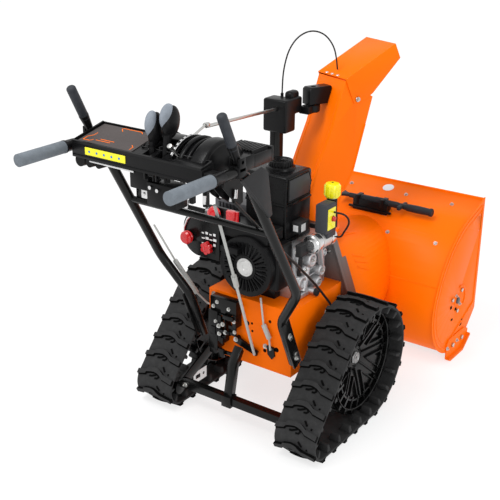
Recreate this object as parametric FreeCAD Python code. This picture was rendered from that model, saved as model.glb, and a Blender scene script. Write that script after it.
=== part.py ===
import FreeCAD, Part
import math
import os

# Walk-behind two-stage snow blower on rubber tracks, in millimetres.
# +X is the operator's right, +Y is the travel direction, +Z is up.
# The origin is on the ground, below the middle of the machine.

Vector = FreeCAD.Vector
X_AXIS = Vector(1, 0, 0)
Y_AXIS = Vector(0, 1, 0)
Z_AXIS = Vector(0, 0, 1)

# ---------------------------------------------------------------- fits
RUN_FIT = 0.05          # radial clearance of a shaft in its bore
SEAT_GAP = 0.3          # gap between two seated pieces
SHEET = 3.0             # sheet steel of housing and frame

# ---------------------------------------------------------------- tracks
AXLE_Y = 61.0           # drive axle, along the travel direction
TRACK_FRONT_R = 202.0   # front radius over the lug tips; also the axle height
TRACK_REAR_R = 68.0     # rear radius over the lug tips
TRACK_BASE = 296.0      # axle to rear wheel
TRACK_INNER_X = 203.0   # inner edge of each track
TRACK_WIDTH = 143.0
LUG_HEIGHT = 10.0
LUG_LENGTH = 15.0
# A lug is a stepped chevron: share of the width from the left, and distance ahead.
LUG_LINE = ((0.0, 0.0), (0.22, 7.0), (0.25, 14.0), (0.43, 20.0), (0.59, 16.0), (0.70, 7.0), (1.0, 0.0))
LUG_COUNT = 23
BELT_THICK = 8.0
AXLE_R = 12.0
AXLE_END = 262.0        # half length of the axle
WHEEL_RIM = 18.0        # radial depth of the drive wheel's rim
WHEEL_WIDTH = 60.0
WHEEL_GAP = 0.6         # wheel to the belt's inside
HUB_R = 38.0
HUB_OUT_X = 268.0       # outer face of the drive wheel's hub
HUB_LENGTH = 40.0
SPOKE_COUNT = 10
SPOKE_THICK = 12.0
SPOKE_WIDTH = 16.0
ARM_THICK = 8.0         # side arm of the track carriage
ARM_INSET = 3.5         # arm from the track's inner edge
ARM_BOSS_R = 34.0
ARM_TIP_R = 24.0
REAR_SHAFT_R = 10.0
CROSS_BAR = 26.0        # square bar between the two arms
CROSS_BAR_AHEAD = 13.0  # bar ahead of the rear shaft
CROSS_BAR_ABOVE = 14.0  # bar above the rear shaft
LEG_WIDTH = 30.0
LEG_THICK = 10.0
LEG_X = -18.0
LEG_KNEE_RISE = 105.0
LEG_KNEE_AHEAD = 22.0
LEG_TIP_RISE = 145.0
LEG_TIP_BACK = 31.0     # leg's tip behind the frame, clear of the shift arm as it swings
REAR_RECESS = 25.0      # dish in the rear wheel's outer face
REAR_RIM = 7.0

# ---------------------------------------------------------------- frame box
FRAME_HALF_W = 158.0
FRAME_REAR_Y = -140.0
FRAME_FRONT_Y = 149.0
FRAME_BOTTOM_Z = 182.0
FRAME_TOP_Z = 405.0
FRAME_EAR_LOW = 200.0   # side plates that reach forward to the drum
FRAME_EAR_HIGH = 330.0

# ---------------------------------------------------------------- auger housing
HOUSE_HALF_W = 366.0    # outer face of the side plates
HOUSE_FRONT_Y = 793.0
HOUSE_TOP_Z = 556.0
AUGER_Y = 620.0
AUGER_Z = 220.0
WRAP_R = 193.0          # outer radius of the lower wrap, about the auger
WRAP_BACK_ANGLE = 165.0
WRAP_TOP_ANGLE = 108.0
WRAP_LOW_ANGLE = 262.0
WRAP_LIP = 48.0         # flat lip at the bottom
SIDE_FLANGE = 4.0       # side plates stand out past the wrap
SIDE_FRONT_Y = 797.0
SIDE_CUT_Z = 126.0
SIDE_CUT_Y = 712.0
SIDE_LOW_Z = 24.0
SCRAPER_THICK = 6.0
SCRAPER_REACH = 57.0
SCRAPER_BACK = 32.0     # the bar starts this far behind the lip
CUTTER_Y = 768.0        # two holes for a drift cutter, one above the other
CUTTER_Z = 470.0
CUTTER_PITCH = 60.0
CUTTER_HOLE_R = 4.25
SKID_OUT = 384.0
SKID_PLATE = 5.0
SKID_REAR_Y = 560.0
SKID_LENGTH = 178.0
SKID_HEIGHT = 80.0
SKID_FLAT = 109.0
SKID_FOOT = 7.0

# ---------------------------------------------------------------- impeller and drum
DRUM_Z = 290.0
DRUM_R = 183.0
DRUM_REAR_Y = 205.0
IMPELLER_R = 174.0
IMPELLER_REAR_Y = 236.0
IMPELLER_LENGTH = 150.0
IMPELLER_HUB_R = 26.0
BLADE_THICK = 5.0
BLADE_COUNT = 4
SHAFT_R = 12.0
PULLEY_R = 75.0
ENGINE_PULLEY_R = 40.0
PULLEY_WIDTH = 26.0
PULLEY_Y = 157.0
GROOVE_DEPTH = 11.0
DRIVE_BELT_WIDTH = 12.0
DRIVE_BELT_THICK = 8.0

# ---------------------------------------------------------------- auger
AUGER_R = 174.0
AUGER_PITCH = 300.0
RIBBON_WIDTH = 34.0
RIBBON_THICK = 5.0
SLEEVE_R = 17.0
CASE_HALF_W = 44.0
CASE_R = 46.0           # round lower part of the gear case
AUGER_END_GAP = 14.0    # flights to the side plates

# ---------------------------------------------------------------- engine
CRANK_Z = 523.0
CRANK_R = 13.0
CASE_LEFT = -75.0
CASE_RIGHT = 108.0
CASE_REAR_Y = -60.0
CASE_FRONT_Y = 125.0
CASE_TOP_Z = 575.0
CYLINDER_REACH = 70.0   # cylinder's left end from the crankcase
HEAD_REACH = 112.0      # head's left end from the crankcase
CYLINDER_REAR = 25.0    # cylinder in from the crankcase's rear, front, bottom and top
CYLINDER_FRONT = 55.0
CYLINDER_LOW = 45.0
CYLINDER_HIGH = 20.0
HEAD_GROW = 5.0         # head stands out past the cylinder
DRAIN_REACH = 44.0
DRAIN_R = 9.0
DRAIN_Y = 2.0
DRAIN_RISE = 16.0       # drain above the frame
OIL_SHELF = 30.0        # thickness of the shelf under the oil filler
MUFFLER_LEFT = 34.0     # muffler's ends from the head's left end
MUFFLER_RIGHT = 90.0
MUFFLER_REAR = 36.0     # in from the crankcase's rear and front
MUFFLER_FRONT = 44.0
MUFFLER_HEIGHT = 86.0
PORT_R = 15.0
RECOIL_FOOT_HALF = 60.0
RECOIL_FOOT_DEPTH = 30.0
RECOIL_HANDLE_ANGLE = 128.0
RECOIL_HANDLE_HALF = 32.0
RECOIL_HANDLE_DEPTH = 18.0
RECOIL_ROPE_R = 7.0
RECOIL_ROPE_OUT = 8.0
RECOIL_R = 95.0
RECOIL_REAR_Y = -165.0
RECOIL_WALL = 3.0
RECOIL_SLOTS = 28
FLYWHEEL_R = 84.0
FLYWHEEL_Y = -118.0
FLYWHEEL_THICK = 34.0
TANK_LEFT = -80.0
TANK_RIGHT = 67.0
TANK_REAR_Y = -50.0
TANK_FRONT_Y = 90.0
TANK_SEAM_Z = 699.0
TANK_HEIGHT = 91.0
TANK_TOP_Z = TANK_SEAM_Z + TANK_HEIGHT
TANK_ROUND = 9.0
FUEL_NECK_R = 26.0
FUEL_NECK_H = 9.0
FUEL_CAP_R = 37.0
FUEL_CAP_H = 25.0
FUEL_CAP_X = -6.0
FUEL_CAP_Y = 30.0
STARTER_X = 141.0
STARTER_Z = 582.0
STARTER_R = 26.0
STARTER_REAR_Y = -24.0
STARTER_LENGTH = 124.0
SWITCH_LEFT = 133.0
SWITCH_RIGHT = 173.0
SWITCH_REAR_Y = 15.0
SWITCH_FRONT_Y = 72.0
SWITCH_TOP_Z = 702.0
BUTTON_R = 8.0
BUTTON_OUT = 8.0
BUTTON_TRAVEL = 3.0
BUTTON_DEPTH = 14.0
BUTTON_BELOW = 48.0     # button below the switch box's top
STARTER_FLANGE = 36.0
STARTER_FLANGE_OUT = 3.0
OIL_X = 129.0
OIL_Y = 119.0
OIL_NECK_R = 14.0
OIL_NECK_TOP_Z = 712.0
OIL_CAP_R = 25.0
OIL_CAP_H = 33.0
PANEL_LEFT = -243.0
PANEL_RIGHT = -102.0
PANEL_LOW_Z = 515.0
PANEL_TOP_Z = 660.0
PANEL_REAR_Y = -160.0
PANEL_THICK = 9.0
PANEL_BOX_DEPTH = 90.0
KNOB_STEM_R = 5.0
KNOB_BORE_DEPTH = 12.0
PANEL_SEAT_LEFT = 4.0   # panel box's seat in from the head's left end

# ---------------------------------------------------------------- belt cover
COVER_REAR_Y = 150.0
COVER_WALL = 2.5
COVER_LEFT = -100.0
COVER_TOP_Z = 575.0
COVER_TOP_HALF = 92.0
COVER_WIDE_X = 186.0
COVER_NARROW_X = 150.0
COVER_BOTTOM_Z = 206.0
COVER_STEP_Z = 336.0
COVER_SHORT_Y = 184.0   # above the drum the cover ends short of the chute's ring

# ---------------------------------------------------------------- handlebars and dash
TUBE_R = 14.3
GRIP_R = 17.0
GRIP_START_Y = -643.0
GRIP_END_Y = -798.0
HANDLE_Z = 967.0        # height of the grips
HANDLE_HALF_W = 246.0
TUBE_BEND_Y = -517.0
TUBE_KNEE_Y = -262.0
TUBE_KNEE_Z = 535.0
TUBE_FOOT_Y = -222.0
TUBE_FOOT_Z = 410.0
TUBE_END_Y = -150.0
TUBE_END_Z = 245.0
TIE_Z = 756.0           # tie bar between the two handlebars
TIE_R = 10.0
DASH_LEFT_GAP = 21.0    # dash's ends to the handlebars' centre lines
DASH_RIGHT_GAP = 36.0
DASH_LEFT = DASH_LEFT_GAP - HANDLE_HALF_W
DASH_RIGHT = HANDLE_HALF_W - DASH_RIGHT_GAP
DASH_REAR_Y = -632.0
DASH_REAR_Z = HANDLE_Z + 16.0
DASH_FRONT_Y = -509.0
DASH_SLOPE = 0.22
DASH_SKIRT_Z = HANDLE_Z - 19.0
STAY_LEFT = DASH_LEFT + 3.0      # plate from the tie bar up to the dash
STAY_WIDTH = 74.0
STAY_RIGHT = STAY_LEFT + STAY_WIDTH
STAY_THICK = 6.0
STAY_BEND_Z = HANDLE_Z - 95.0    # upright below this, leaning back above it
DASH_SPLIT_X = -16.0    # the console stands to the right of this line
DASH_STRIP_Y = -588.0
CONSOLE_Y = -520.0
CONSOLE_Z = HANDLE_Z - 37.0
CONSOLE_R = 90.0
CONSOLE_RIGHT = DASH_RIGHT - 20.0
CONSOLE_WALL = 4.0
CONSOLE_LOW_Z = HANDLE_Z - 25.0
LIGHT_WIDTH = 94.0
LIGHT_RIGHT = DASH_RIGHT + 6.0
LIGHT_LEFT = LIGHT_RIGHT - LIGHT_WIDTH
LIGHT_REAR_Y = -424.0
LIGHT_FRONT_Y = -345.0
LIGHT_LOW_Z = HANDLE_Z - 26.0
LIGHT_TOP_Z = HANDLE_Z + 18.0
GUARD_THICK = 4.0       # knee-shaped plate outside the right handlebar's upper bend
GUARD_TOP_Z = HANDLE_Z - 4.0
GUARD_REACH = 111.0     # along the upper arm
GUARD_DROP = 140.0      # down to the tip of the lower arm
GUARD_FRONT_Y = -414.0
GUARD_TIP = 13.0

# ---------------------------------------------------------------- levers
LEVER_PIVOT_Y = -540.0
LEVER_PIVOT_Z = HANDLE_Z + 25.0
LEVER_LENGTH = 144.0
LEVER_ANGLE = 116.7     # from +Y towards +Z
LEVER_GRIP_R = 13.0
LEVER_BARE = 40.0
LEVER_PIN_R = 5.0
CHEEK_OUT = 14.0        # outer face of the pivot's left cheek from the handlebar's centre line
CHEEK_THICK = 5.0
STICK_Y = -600.0        # common cross axis of the two stick levers
STICK_Z = HANDLE_Z - 37.0
STICK_R = 9.0
STICK_PIN_R = 5.0
STICK_PIN_HALF = 17.0
STICK_HEAD_X = 34.0
STICK_HEAD_Y = 40.0
STICK_HEAD_LENGTH = 84.0
STICK_SWING_ROOM = 28.0
STICK_EAR = 5.0
CHUTE_STICK_X = 20.0
CHUTE_STICK_LENGTH = 164.0
CHUTE_STICK_LEAN = 7.0  # degrees forward
DEFLECTOR_STICK_X = 58.0
DEFLECTOR_STICK_LENGTH = 186.0
DEFLECTOR_STICK_LEAN = 12.5
SPEED_X = 97.0
SPEED_R = 4.0
SPEED_REACH = 94.0
SPEED_ANGLE = 134.6
SPEED_PIVOT_Y = -551.0
SPEED_PIVOT_Z = HANDLE_Z - 11.0
SPEED_SLOT_HALF = 7.0
SPEED_PIN_R = 4.0

# ---------------------------------------------------------------- chute
CHUTE_X = -58.0
CHUTE_Y = 290.0
CHUTE_HEADING = -22.0   # the chute points this far to the right of straight ahead
COLLAR_R = 84.0
COLLAR_TOP_Z = 500.0
COLLAR_FLANGE = 16.0
RING_GAP = 0.6
RING_HEIGHT = 11.0
CHUTE_SHEET = 2.5
CHUTE_HALF_W = 72.5
CHUTE_NECK_Z = 640.0
CHUTE_NECK_REAR = -61.0
CHUTE_NECK_FRONT = 90.0
HINGE_U = 124.0
HINGE_Z = 949.0
HINGE_R = 4.0
DEFLECTOR_GAP = 1.5
DEFLECTOR_REAR_U = 73.0
DEFLECTOR_REAR_Z = 1019.5
DEFLECTOR_LENGTH = 222.0
DEFLECTOR_RISE = 25.9   # degrees
DEFLECTOR_LIP = 54.0

# ---------------------------------------------------------------- chute control
BOX_LEFT = -161.0
BOX_RIGHT = -72.0
BOX_REAR_Y = 150.0
BOX_FRONT_Y = 250.0
BOX_LOW_Z = 857.0
BOX_TOP_Z = 965.0
BOX_WALL = 3.0
BOX_NOTCH_Y = 212.0
BOX_NOTCH_Z = 912.0
BOX_NOSE_WIDTH = 44.0   # the upper front is narrower, clear of the turning chute
ARM_REACH = 34.0        # arm to the chute's pin, within the reach of the chute's back
ARM_ROOM = 14.0
ARM_HEIGHT = 20.0
CHUTE_PIN_R = 8.0
POST_LEFT = -141.0
POST_WIDTH = 32.0
POST_REAR_Y = 165.0
POST_DEPTH = 30.0
POST_LOW_Z = 337.0
ROD_R = 5.0
ROD_FRONT = Vector(-109, 158, 935)
ROD_REAR_Y = -349.0
ROD_REAR_Z = HANDLE_Z + 33.0
ROD_REAR = Vector(0, ROD_REAR_Y, ROD_REAR_Z)


# ================================================================ helpers
def box(x0, x1, y0, y1, z0, z1):
    return Part.makeBox(x1 - x0, y1 - y0, z1 - z0, Vector(x0, y0, z0))


def rod(start, end, radius):
    run = end - start
    return Part.makeCylinder(radius, run.Length, start, run)


def pipe(start, end, outer, inner):
    return rod(start, end, outer).cut(rod(start, end, inner))


def x_rod(x0, x1, y, z, radius):
    return rod(Vector(x0, y, z), Vector(x1, y, z), radius)


def y_rod(x, y0, y1, z, radius):
    return rod(Vector(x, y0, z), Vector(x, y1, z), radius)


def z_rod(x, y, z0, z1, radius):
    return rod(Vector(x, y, z0), Vector(x, y, z1), radius)


def plate_x(points, x0, x1):
    """A flat outline of (y, z) points, extruded from x0 to x1."""
    corners = [Vector(x0, y, z) for y, z in points]
    face = Part.Face(Part.makePolygon(corners + corners[:1]))
    return face.extrude(Vector(x1 - x0, 0, 0))


def plate_y(points, y0, y1):
    """A flat outline of (x, z) points, extruded from y0 to y1."""
    corners = [Vector(x, y0, z) for x, z in points]
    face = Part.Face(Part.makePolygon(corners + corners[:1]))
    return face.extrude(Vector(0, y1 - y0, 0))


def fuse(shapes):
    return shapes[0].multiFuse(shapes[1:]).removeSplitter()


def mirrored(shape):
    return shape.mirror(Vector(0, 0, 0), X_AXIS)


def hex_head(centre, axis, across, height):
    """A hexagon bolt head that stands on a face."""
    side = axis.cross(Z_AXIS)
    if side.Length < 0.1:
        side = Vector(1, 0, 0)
    side.normalize()
    up = side.cross(axis)
    up.normalize()
    reach = across / math.sqrt(3)
    corners = []
    for step in range(6):
        angle = math.radians(60 * step)
        corners.append(centre + side * (reach * math.cos(angle)) + up * (reach * math.sin(angle)))
    return Part.Face(Part.makePolygon(corners + corners[:1])).extrude(axis * height)


def path_wire(points, share=0.45, radii=None):
    """Straight runs joined by tangent arcs as large as the shorter run allows."""
    edges = []
    last = points[0]
    for index in range(1, len(points) - 1):
        before = points[index - 1] - points[index]
        after = points[index + 1] - points[index]
        turn = math.pi - before.getAngle(after)
        reach = share * min(before.Length, after.Length)
        if radii is not None:
            reach = min(reach, radii * math.tan(turn / 2))
        radius = reach / math.tan(turn / 2)
        before.normalize()
        after.normalize()
        start = points[index] + before * reach
        end = points[index] + after * reach
        inward = before + after
        inward.normalize()
        middle = points[index] + inward * (radius / math.cos(turn / 2) - radius)
        if (start - last).Length > 1e-6:
            edges.append(Part.LineSegment(last, start).toShape())
        edges.append(Part.Arc(start, middle, end).toShape())
        last = end
    edges.append(Part.LineSegment(last, points[-1]).toShape())
    return Part.Wire(edges)


def swept(points, radius, share=0.45, radii=None):
    """A round bar or cord along a path."""
    wire = path_wire(points, share, radii)
    start = points[1] - points[0]
    circle = Part.Wire(Part.Circle(points[0], start, radius).toShape())
    return wire.makePipeShell([circle], True, True)


def cord_tube(name, points, radius):
    """A cord's tube; prints its bend radii and how well the sweep holds its volume."""
    tube = swept(points, radius)
    wire = path_wire(points)
    bends = [round(edge.Curve.Radius) for edge in wire.Edges if edge.Curve.TypeId == "Part::GeomCircle"]
    ratio = tube.Volume / (math.pi * radius * radius * wire.Length)
    print(name, "bend radii", bends, "length", round(wire.Length), "volume ratio", round(ratio, 4))
    return tube


# ================================================================ tracks
TRACK_TILT = math.degrees(math.atan2(TRACK_FRONT_R - TRACK_REAR_R, TRACK_BASE))
TRACK_UPPER = 90.0 + 2.0 * TRACK_TILT   # direction that the upper run faces
AXLE_Z = TRACK_FRONT_R
REAR_Y = AXLE_Y - TRACK_BASE
REAR_Z = TRACK_REAR_R
TRACK_OUTER_X = TRACK_INNER_X + TRACK_WIDTH
TRACK_MID_X = TRACK_INNER_X + TRACK_WIDTH / 2
BELT_INSIDE = LUG_HEIGHT + BELT_THICK
WHEEL_R = TRACK_FRONT_R - BELT_INSIDE - WHEEL_GAP
REAR_WHEEL_R = TRACK_REAR_R - BELT_INSIDE - WHEEL_GAP
ARM_X = TRACK_INNER_X + ARM_INSET


def around(y, z, radius, degrees):
    angle = math.radians(degrees)
    return (y + radius * math.cos(angle), z + radius * math.sin(angle))


def arc_yz(x, y, z, radius, first, last):
    ends = [around(y, z, radius, angle) for angle in (first, (first + last) / 2, last)]
    return Part.Arc(*[Vector(x, py, pz) for py, pz in ends]).toShape()


def line_yz(x, a, b):
    return Part.LineSegment(Vector(x, *a), Vector(x, *b)).toShape()


def track_face(x, inset):
    """The track's closed outline, inset from the lug tips."""
    front = TRACK_FRONT_R - inset
    rear = TRACK_REAR_R - inset
    edges = [
        line_yz(x, (REAR_Y, inset), (AXLE_Y, inset)),
        arc_yz(x, AXLE_Y, AXLE_Z, front, -90.0, TRACK_UPPER),
        line_yz(x, around(AXLE_Y, AXLE_Z, front, TRACK_UPPER), around(REAR_Y, REAR_Z, rear, TRACK_UPPER)),
        arc_yz(x, REAR_Y, REAR_Z, rear, TRACK_UPPER, 270.0),
    ]
    return Part.Face(Part.Wire(edges))


def track_place(distance):
    """Place and direction at a distance along the belt's outer face."""
    front = TRACK_FRONT_R - LUG_HEIGHT
    rear = TRACK_REAR_R - LUG_HEIGHT
    front_arc = math.radians(TRACK_UPPER + 90.0) * front
    upper = math.sqrt(TRACK_BASE ** 2 + (TRACK_FRONT_R - TRACK_REAR_R) ** 2 - (front - rear) ** 2)
    if distance < TRACK_BASE:
        return REAR_Y + distance, LUG_HEIGHT, -90.0
    distance -= TRACK_BASE
    if distance < front_arc:
        facing = -90.0 + math.degrees(distance / front)
        return (*around(AXLE_Y, AXLE_Z, front, facing), facing)
    distance -= front_arc
    if distance < upper:
        y, z = around(AXLE_Y, AXLE_Z, front, TRACK_UPPER)
        along = math.radians(TRACK_UPPER + 90.0)
        return y + distance * math.cos(along), z + distance * math.sin(along), TRACK_UPPER
    distance -= upper
    facing = TRACK_UPPER + math.degrees(distance / rear)
    return (*around(REAR_Y, REAR_Z, rear, facing), facing)


def track_length():
    front = TRACK_FRONT_R - LUG_HEIGHT
    rear = TRACK_REAR_R - LUG_HEIGHT
    upper = math.sqrt(TRACK_BASE ** 2 + (TRACK_FRONT_R - TRACK_REAR_R) ** 2 - (front - rear) ** 2)
    arcs = math.radians(TRACK_UPPER + 90.0) * front + math.radians(270.0 - TRACK_UPPER) * rear
    return TRACK_BASE + upper + arcs


def lug_block(distance):
    """A lug's chevron as a deep block across the belt."""
    y, z, facing = track_place(distance % track_length())
    rear = [Vector(TRACK_INNER_X + share * TRACK_WIDTH, ahead - LUG_LENGTH / 2, -2 * LUG_HEIGHT)
            for share, ahead in LUG_LINE]
    front = [point + Y_AXIS * LUG_LENGTH for point in reversed(rear)]
    block = Part.Face(Part.makePolygon(rear + front + rear[:1])).extrude(Z_AXIS * (4 * LUG_HEIGHT))
    block.rotate(Vector(0, 0, 0), X_AXIS, facing - 90.0)
    block.translate(Vector(0, y, z))
    return block


def track_belt():
    belt = track_face(TRACK_INNER_X, LUG_HEIGHT).cut(track_face(TRACK_INNER_X, BELT_INSIDE))
    band = track_face(TRACK_INNER_X, 0).cut(track_face(TRACK_INNER_X, LUG_HEIGHT + BELT_THICK / 2))
    along = Vector(TRACK_WIDTH, 0, 0)
    belt = belt.extrude(along)
    band = band.extrude(along)
    pitch = track_length() / LUG_COUNT
    blocks = [lug_block(index * pitch) for index in range(LUG_COUNT)]
    lugs = band.common(Part.makeCompound(blocks))
    return fuse([belt] + lugs.Solids)


def drive_wheel():
    low_x = TRACK_MID_X - WHEEL_WIDTH / 2
    high_x = TRACK_MID_X + WHEEL_WIDTH / 2
    rim = pipe(Vector(low_x, AXLE_Y, AXLE_Z), Vector(high_x, AXLE_Y, AXLE_Z), WHEEL_R, WHEEL_R - WHEEL_RIM)
    hub = x_rod(HUB_OUT_X - HUB_LENGTH, HUB_OUT_X, AXLE_Y, AXLE_Z, HUB_R)
    web_x = HUB_OUT_X - SPOKE_THICK
    pieces = [rim, hub]
    for index in range(SPOKE_COUNT):
        spoke = box(web_x, web_x + SPOKE_THICK, -SPOKE_WIDTH / 2, SPOKE_WIDTH / 2,
                    HUB_R / 2, WHEEL_R - WHEEL_RIM / 2)
        spoke.rotate(Vector(0, 0, 0), X_AXIS, 360.0 * index / SPOKE_COUNT)
        spoke.translate(Vector(0, AXLE_Y, AXLE_Z))
        pieces.append(spoke)
    wheel = fuse(pieces)
    return wheel.cut(x_rod(TRACK_INNER_X, TRACK_OUTER_X, AXLE_Y, AXLE_Z, AXLE_R + RUN_FIT))


def rear_wheel():
    low_x = TRACK_MID_X - WHEEL_WIDTH / 2
    high_x = TRACK_MID_X + WHEEL_WIDTH / 2
    wheel = x_rod(low_x, high_x, REAR_Y, REAR_Z, REAR_WHEEL_R)
    recess = pipe(Vector(high_x - REAR_RECESS, REAR_Y, REAR_Z), Vector(high_x, REAR_Y, REAR_Z),
                  REAR_WHEEL_R - REAR_RIM, REAR_SHAFT_R + REAR_RIM + 1)
    bore = x_rod(low_x, high_x, REAR_Y, REAR_Z, REAR_SHAFT_R + RUN_FIT)
    return wheel.cut(recess).cut(bore)


def track_arm():
    """One carriage arm with the rear wheel's shaft."""
    reach = math.hypot(TRACK_BASE, AXLE_Z - REAR_Z)
    bar = box(ARM_X, ARM_X + ARM_THICK, 0, reach, -ARM_TIP_R * 0.8, ARM_TIP_R * 0.8)
    bar.rotate(Vector(0, 0, 0), X_AXIS, TRACK_TILT)
    bar.translate(Vector(0, REAR_Y, REAR_Z))
    boss = x_rod(ARM_X, ARM_X + ARM_THICK, AXLE_Y, AXLE_Z, ARM_BOSS_R)
    tip = x_rod(ARM_X, ARM_X + ARM_THICK, REAR_Y, REAR_Z, ARM_TIP_R)
    shaft = x_rod(ARM_X, TRACK_MID_X + WHEEL_WIDTH / 2 + 4, REAR_Y, REAR_Z, REAR_SHAFT_R)
    arm = fuse([bar, boss, tip, shaft])
    return arm.cut(x_rod(ARM_X - 1, ARM_X + ARM_THICK + 1, AXLE_Y, AXLE_Z, AXLE_R + RUN_FIT))


def track_carriage():
    """Both arms, the bar between them and the centre leg, as four pieces."""
    bar_y = REAR_Y + CROSS_BAR_AHEAD
    bar_z = REAR_Z + CROSS_BAR_ABOVE
    half = CROSS_BAR / 2
    bar = box(-ARM_X, ARM_X, bar_y - half, bar_y + half, bar_z - half, bar_z + half)
    foot_z = bar_z + half
    knee = (bar_y + LEG_KNEE_AHEAD, foot_z + LEG_KNEE_RISE)
    tip = (FRAME_REAR_Y - LEG_TIP_BACK, foot_z + LEG_TIP_RISE)
    leg = plate_x([
        (bar_y - LEG_THICK, foot_z), (bar_y + LEG_THICK, foot_z),
        (knee[0] + LEG_THICK, knee[1] - 4), (tip[0] + 6, tip[1] - 6),
        (tip[0] - 2, tip[1] + 10), (knee[0] - LEG_THICK, knee[1] + 4),
    ], LEG_X - LEG_WIDTH / 2, LEG_X + LEG_WIDTH / 2)
    right = track_arm()
    return [right, mirrored(right), bar, leg]


def axle():
    return x_rod(-AXLE_END, AXLE_END, AXLE_Y, AXLE_Z, AXLE_R)


# ================================================================ frame
def frame_box():
    half = FRAME_HALF_W
    shell = box(-half, half, FRAME_REAR_Y, FRAME_FRONT_Y, FRAME_BOTTOM_Z, FRAME_TOP_Z)
    hollow = box(-half + SHEET, half - SHEET, FRAME_REAR_Y + SHEET, FRAME_FRONT_Y - SHEET,
                 FRAME_BOTTOM_Z - 1, FRAME_TOP_Z - SHEET)
    ear = box(half - SHEET, half, FRAME_FRONT_Y - 1, DRUM_REAR_Y, FRAME_EAR_LOW, FRAME_EAR_HIGH)
    frame = fuse([shell.cut(hollow), ear, mirrored(ear)])
    return frame.cut(x_rod(-half - 1, half + 1, AXLE_Y, AXLE_Z, AXLE_R + RUN_FIT))


BRACKET_LEFT = -128.0
BRACKET_RIGHT = -72.0
BRACKET_LOW_Z = 262.0
BRACKET_TOP_Z = 340.0
BRACKET_DEPTH = 30.0
BRACKET_WALL = 4.0
SHIFT_ARM = [(-48.0, 250.0), (-40.0, 270.0), (40.0, 240.0), (36.0, 226.0)]
SHIFT_ARM_BACK = 14.0   # rear face of the arm from the frame's rear wall
SHIFT_ARM_THICK = 6.0
SHIFT_STUD_R = 6.0


def shift_bracket():
    """Black bracket of the speed linkage on the frame's rear left, with its arm."""
    rear = FRAME_REAR_Y
    plate = box(BRACKET_LEFT, BRACKET_RIGHT, rear - BRACKET_DEPTH, rear, BRACKET_LOW_Z, BRACKET_TOP_Z)
    hollow = box(BRACKET_LEFT + BRACKET_WALL, BRACKET_RIGHT - BRACKET_WALL, rear - BRACKET_DEPTH - 1,
                 rear - BRACKET_WALL, BRACKET_LOW_Z + BRACKET_WALL, BRACKET_TOP_Z - BRACKET_WALL)
    arm = plate_y(SHIFT_ARM, rear - SHIFT_ARM_BACK, rear - SHIFT_ARM_BACK + SHIFT_ARM_THICK)
    pivot_x, pivot_z = SHIFT_ARM[1]
    stud = y_rod(pivot_x, rear - SHIFT_ARM_BACK, rear, pivot_z - SHIFT_STUD_R - 2, SHIFT_STUD_R)
    return [plate.cut(hollow), fuse([stud, arm])]


# ================================================================ auger housing
BACK_TURN = math.radians(WRAP_BACK_ANGLE)
TOP_TURN = math.radians(WRAP_TOP_ANGLE)


def wrap_arc():
    """Centre and radius of the upper arc: tangent to the lower wrap and to the sloping top."""
    start_y, start_z = around(AUGER_Y, AUGER_Z, WRAP_R, WRAP_BACK_ANGLE)
    slope = math.tan(TOP_TURN - math.pi / 2)
    run_y = math.cos(TOP_TURN) - math.cos(BACK_TURN)
    run_z = math.sin(TOP_TURN) - math.sin(BACK_TURN)
    radius = (HOUSE_TOP_Z - slope * (HOUSE_FRONT_Y - start_y) - start_z) / (run_z - slope * run_y)
    centre_y = start_y - radius * math.cos(BACK_TURN)
    centre_z = start_z - radius * math.sin(BACK_TURN)
    return centre_y, centre_z, radius


def wrap_edges(x, grow):
    """The open outline of the wrap, front top to bottom lip, moved outwards by grow."""
    arc_y, arc_z, arc_r = wrap_arc()
    lip_turn = math.radians(WRAP_LOW_ANGLE + 90.0)
    front = (HOUSE_FRONT_Y + grow * math.cos(TOP_TURN), HOUSE_TOP_Z + grow * math.sin(TOP_TURN))
    low = around(AUGER_Y, AUGER_Z, WRAP_R + grow, WRAP_LOW_ANGLE)
    lip = (low[0] + WRAP_LIP * math.cos(lip_turn), low[1] + WRAP_LIP * math.sin(lip_turn))
    edges = [
        line_yz(x, front, around(arc_y, arc_z, arc_r + grow, WRAP_TOP_ANGLE)),
        arc_yz(x, arc_y, arc_z, arc_r + grow, WRAP_TOP_ANGLE, WRAP_BACK_ANGLE),
        arc_yz(x, AUGER_Y, AUGER_Z, WRAP_R + grow, WRAP_BACK_ANGLE, WRAP_LOW_ANGLE),
        line_yz(x, low, lip),
    ]
    return edges, front, lip


def wrap_block(grow, half_w):
    """Everything inside the wrap's outline, as one block."""
    edges, front, lip = wrap_edges(-half_w, grow)
    edges.append(line_yz(-half_w, lip, (HOUSE_FRONT_Y, lip[1])))
    edges.append(line_yz(-half_w, (HOUSE_FRONT_Y, lip[1]), front))
    return Part.Face(Part.Wire(edges)).extrude(Vector(2 * half_w, 0, 0))


def auger_housing():
    half = HOUSE_HALF_W - SHEET
    outer, front_out, lip_out = wrap_edges(-half, 0)
    inner, front_in, lip_in = wrap_edges(-half, -SHEET)
    edges = outer + [line_yz(-half, lip_out, lip_in)] + inner + [line_yz(-half, front_in, front_out)]
    sheet = Part.Face(Part.Wire(Part.__sortEdges__(edges))).extrude(Vector(2 * half, 0, 0))
    opening = y_rod(0, DRUM_REAR_Y, AUGER_Y, DRUM_Z, DRUM_R - SHEET)
    return sheet.cut(opening)


def side_outline(x):
    edges, front, lip = wrap_edges(x, SIDE_FLANGE)
    low = around(AUGER_Y, AUGER_Z, WRAP_R + SIDE_FLANGE, WRAP_LOW_ANGLE)
    corners = [low, (SIDE_CUT_Y - 12, SIDE_LOW_Z), (SIDE_CUT_Y, SIDE_LOW_Z + 14),
               (SIDE_FRONT_Y, SIDE_CUT_Z), (SIDE_FRONT_Y, front[1]), front]
    edges = edges[:3]
    for a, b in zip(corners[:-1], corners[1:]):
        edges.append(line_yz(x, a, b))
    return Part.Face(Part.Wire(Part.__sortEdges__(edges)))


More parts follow.
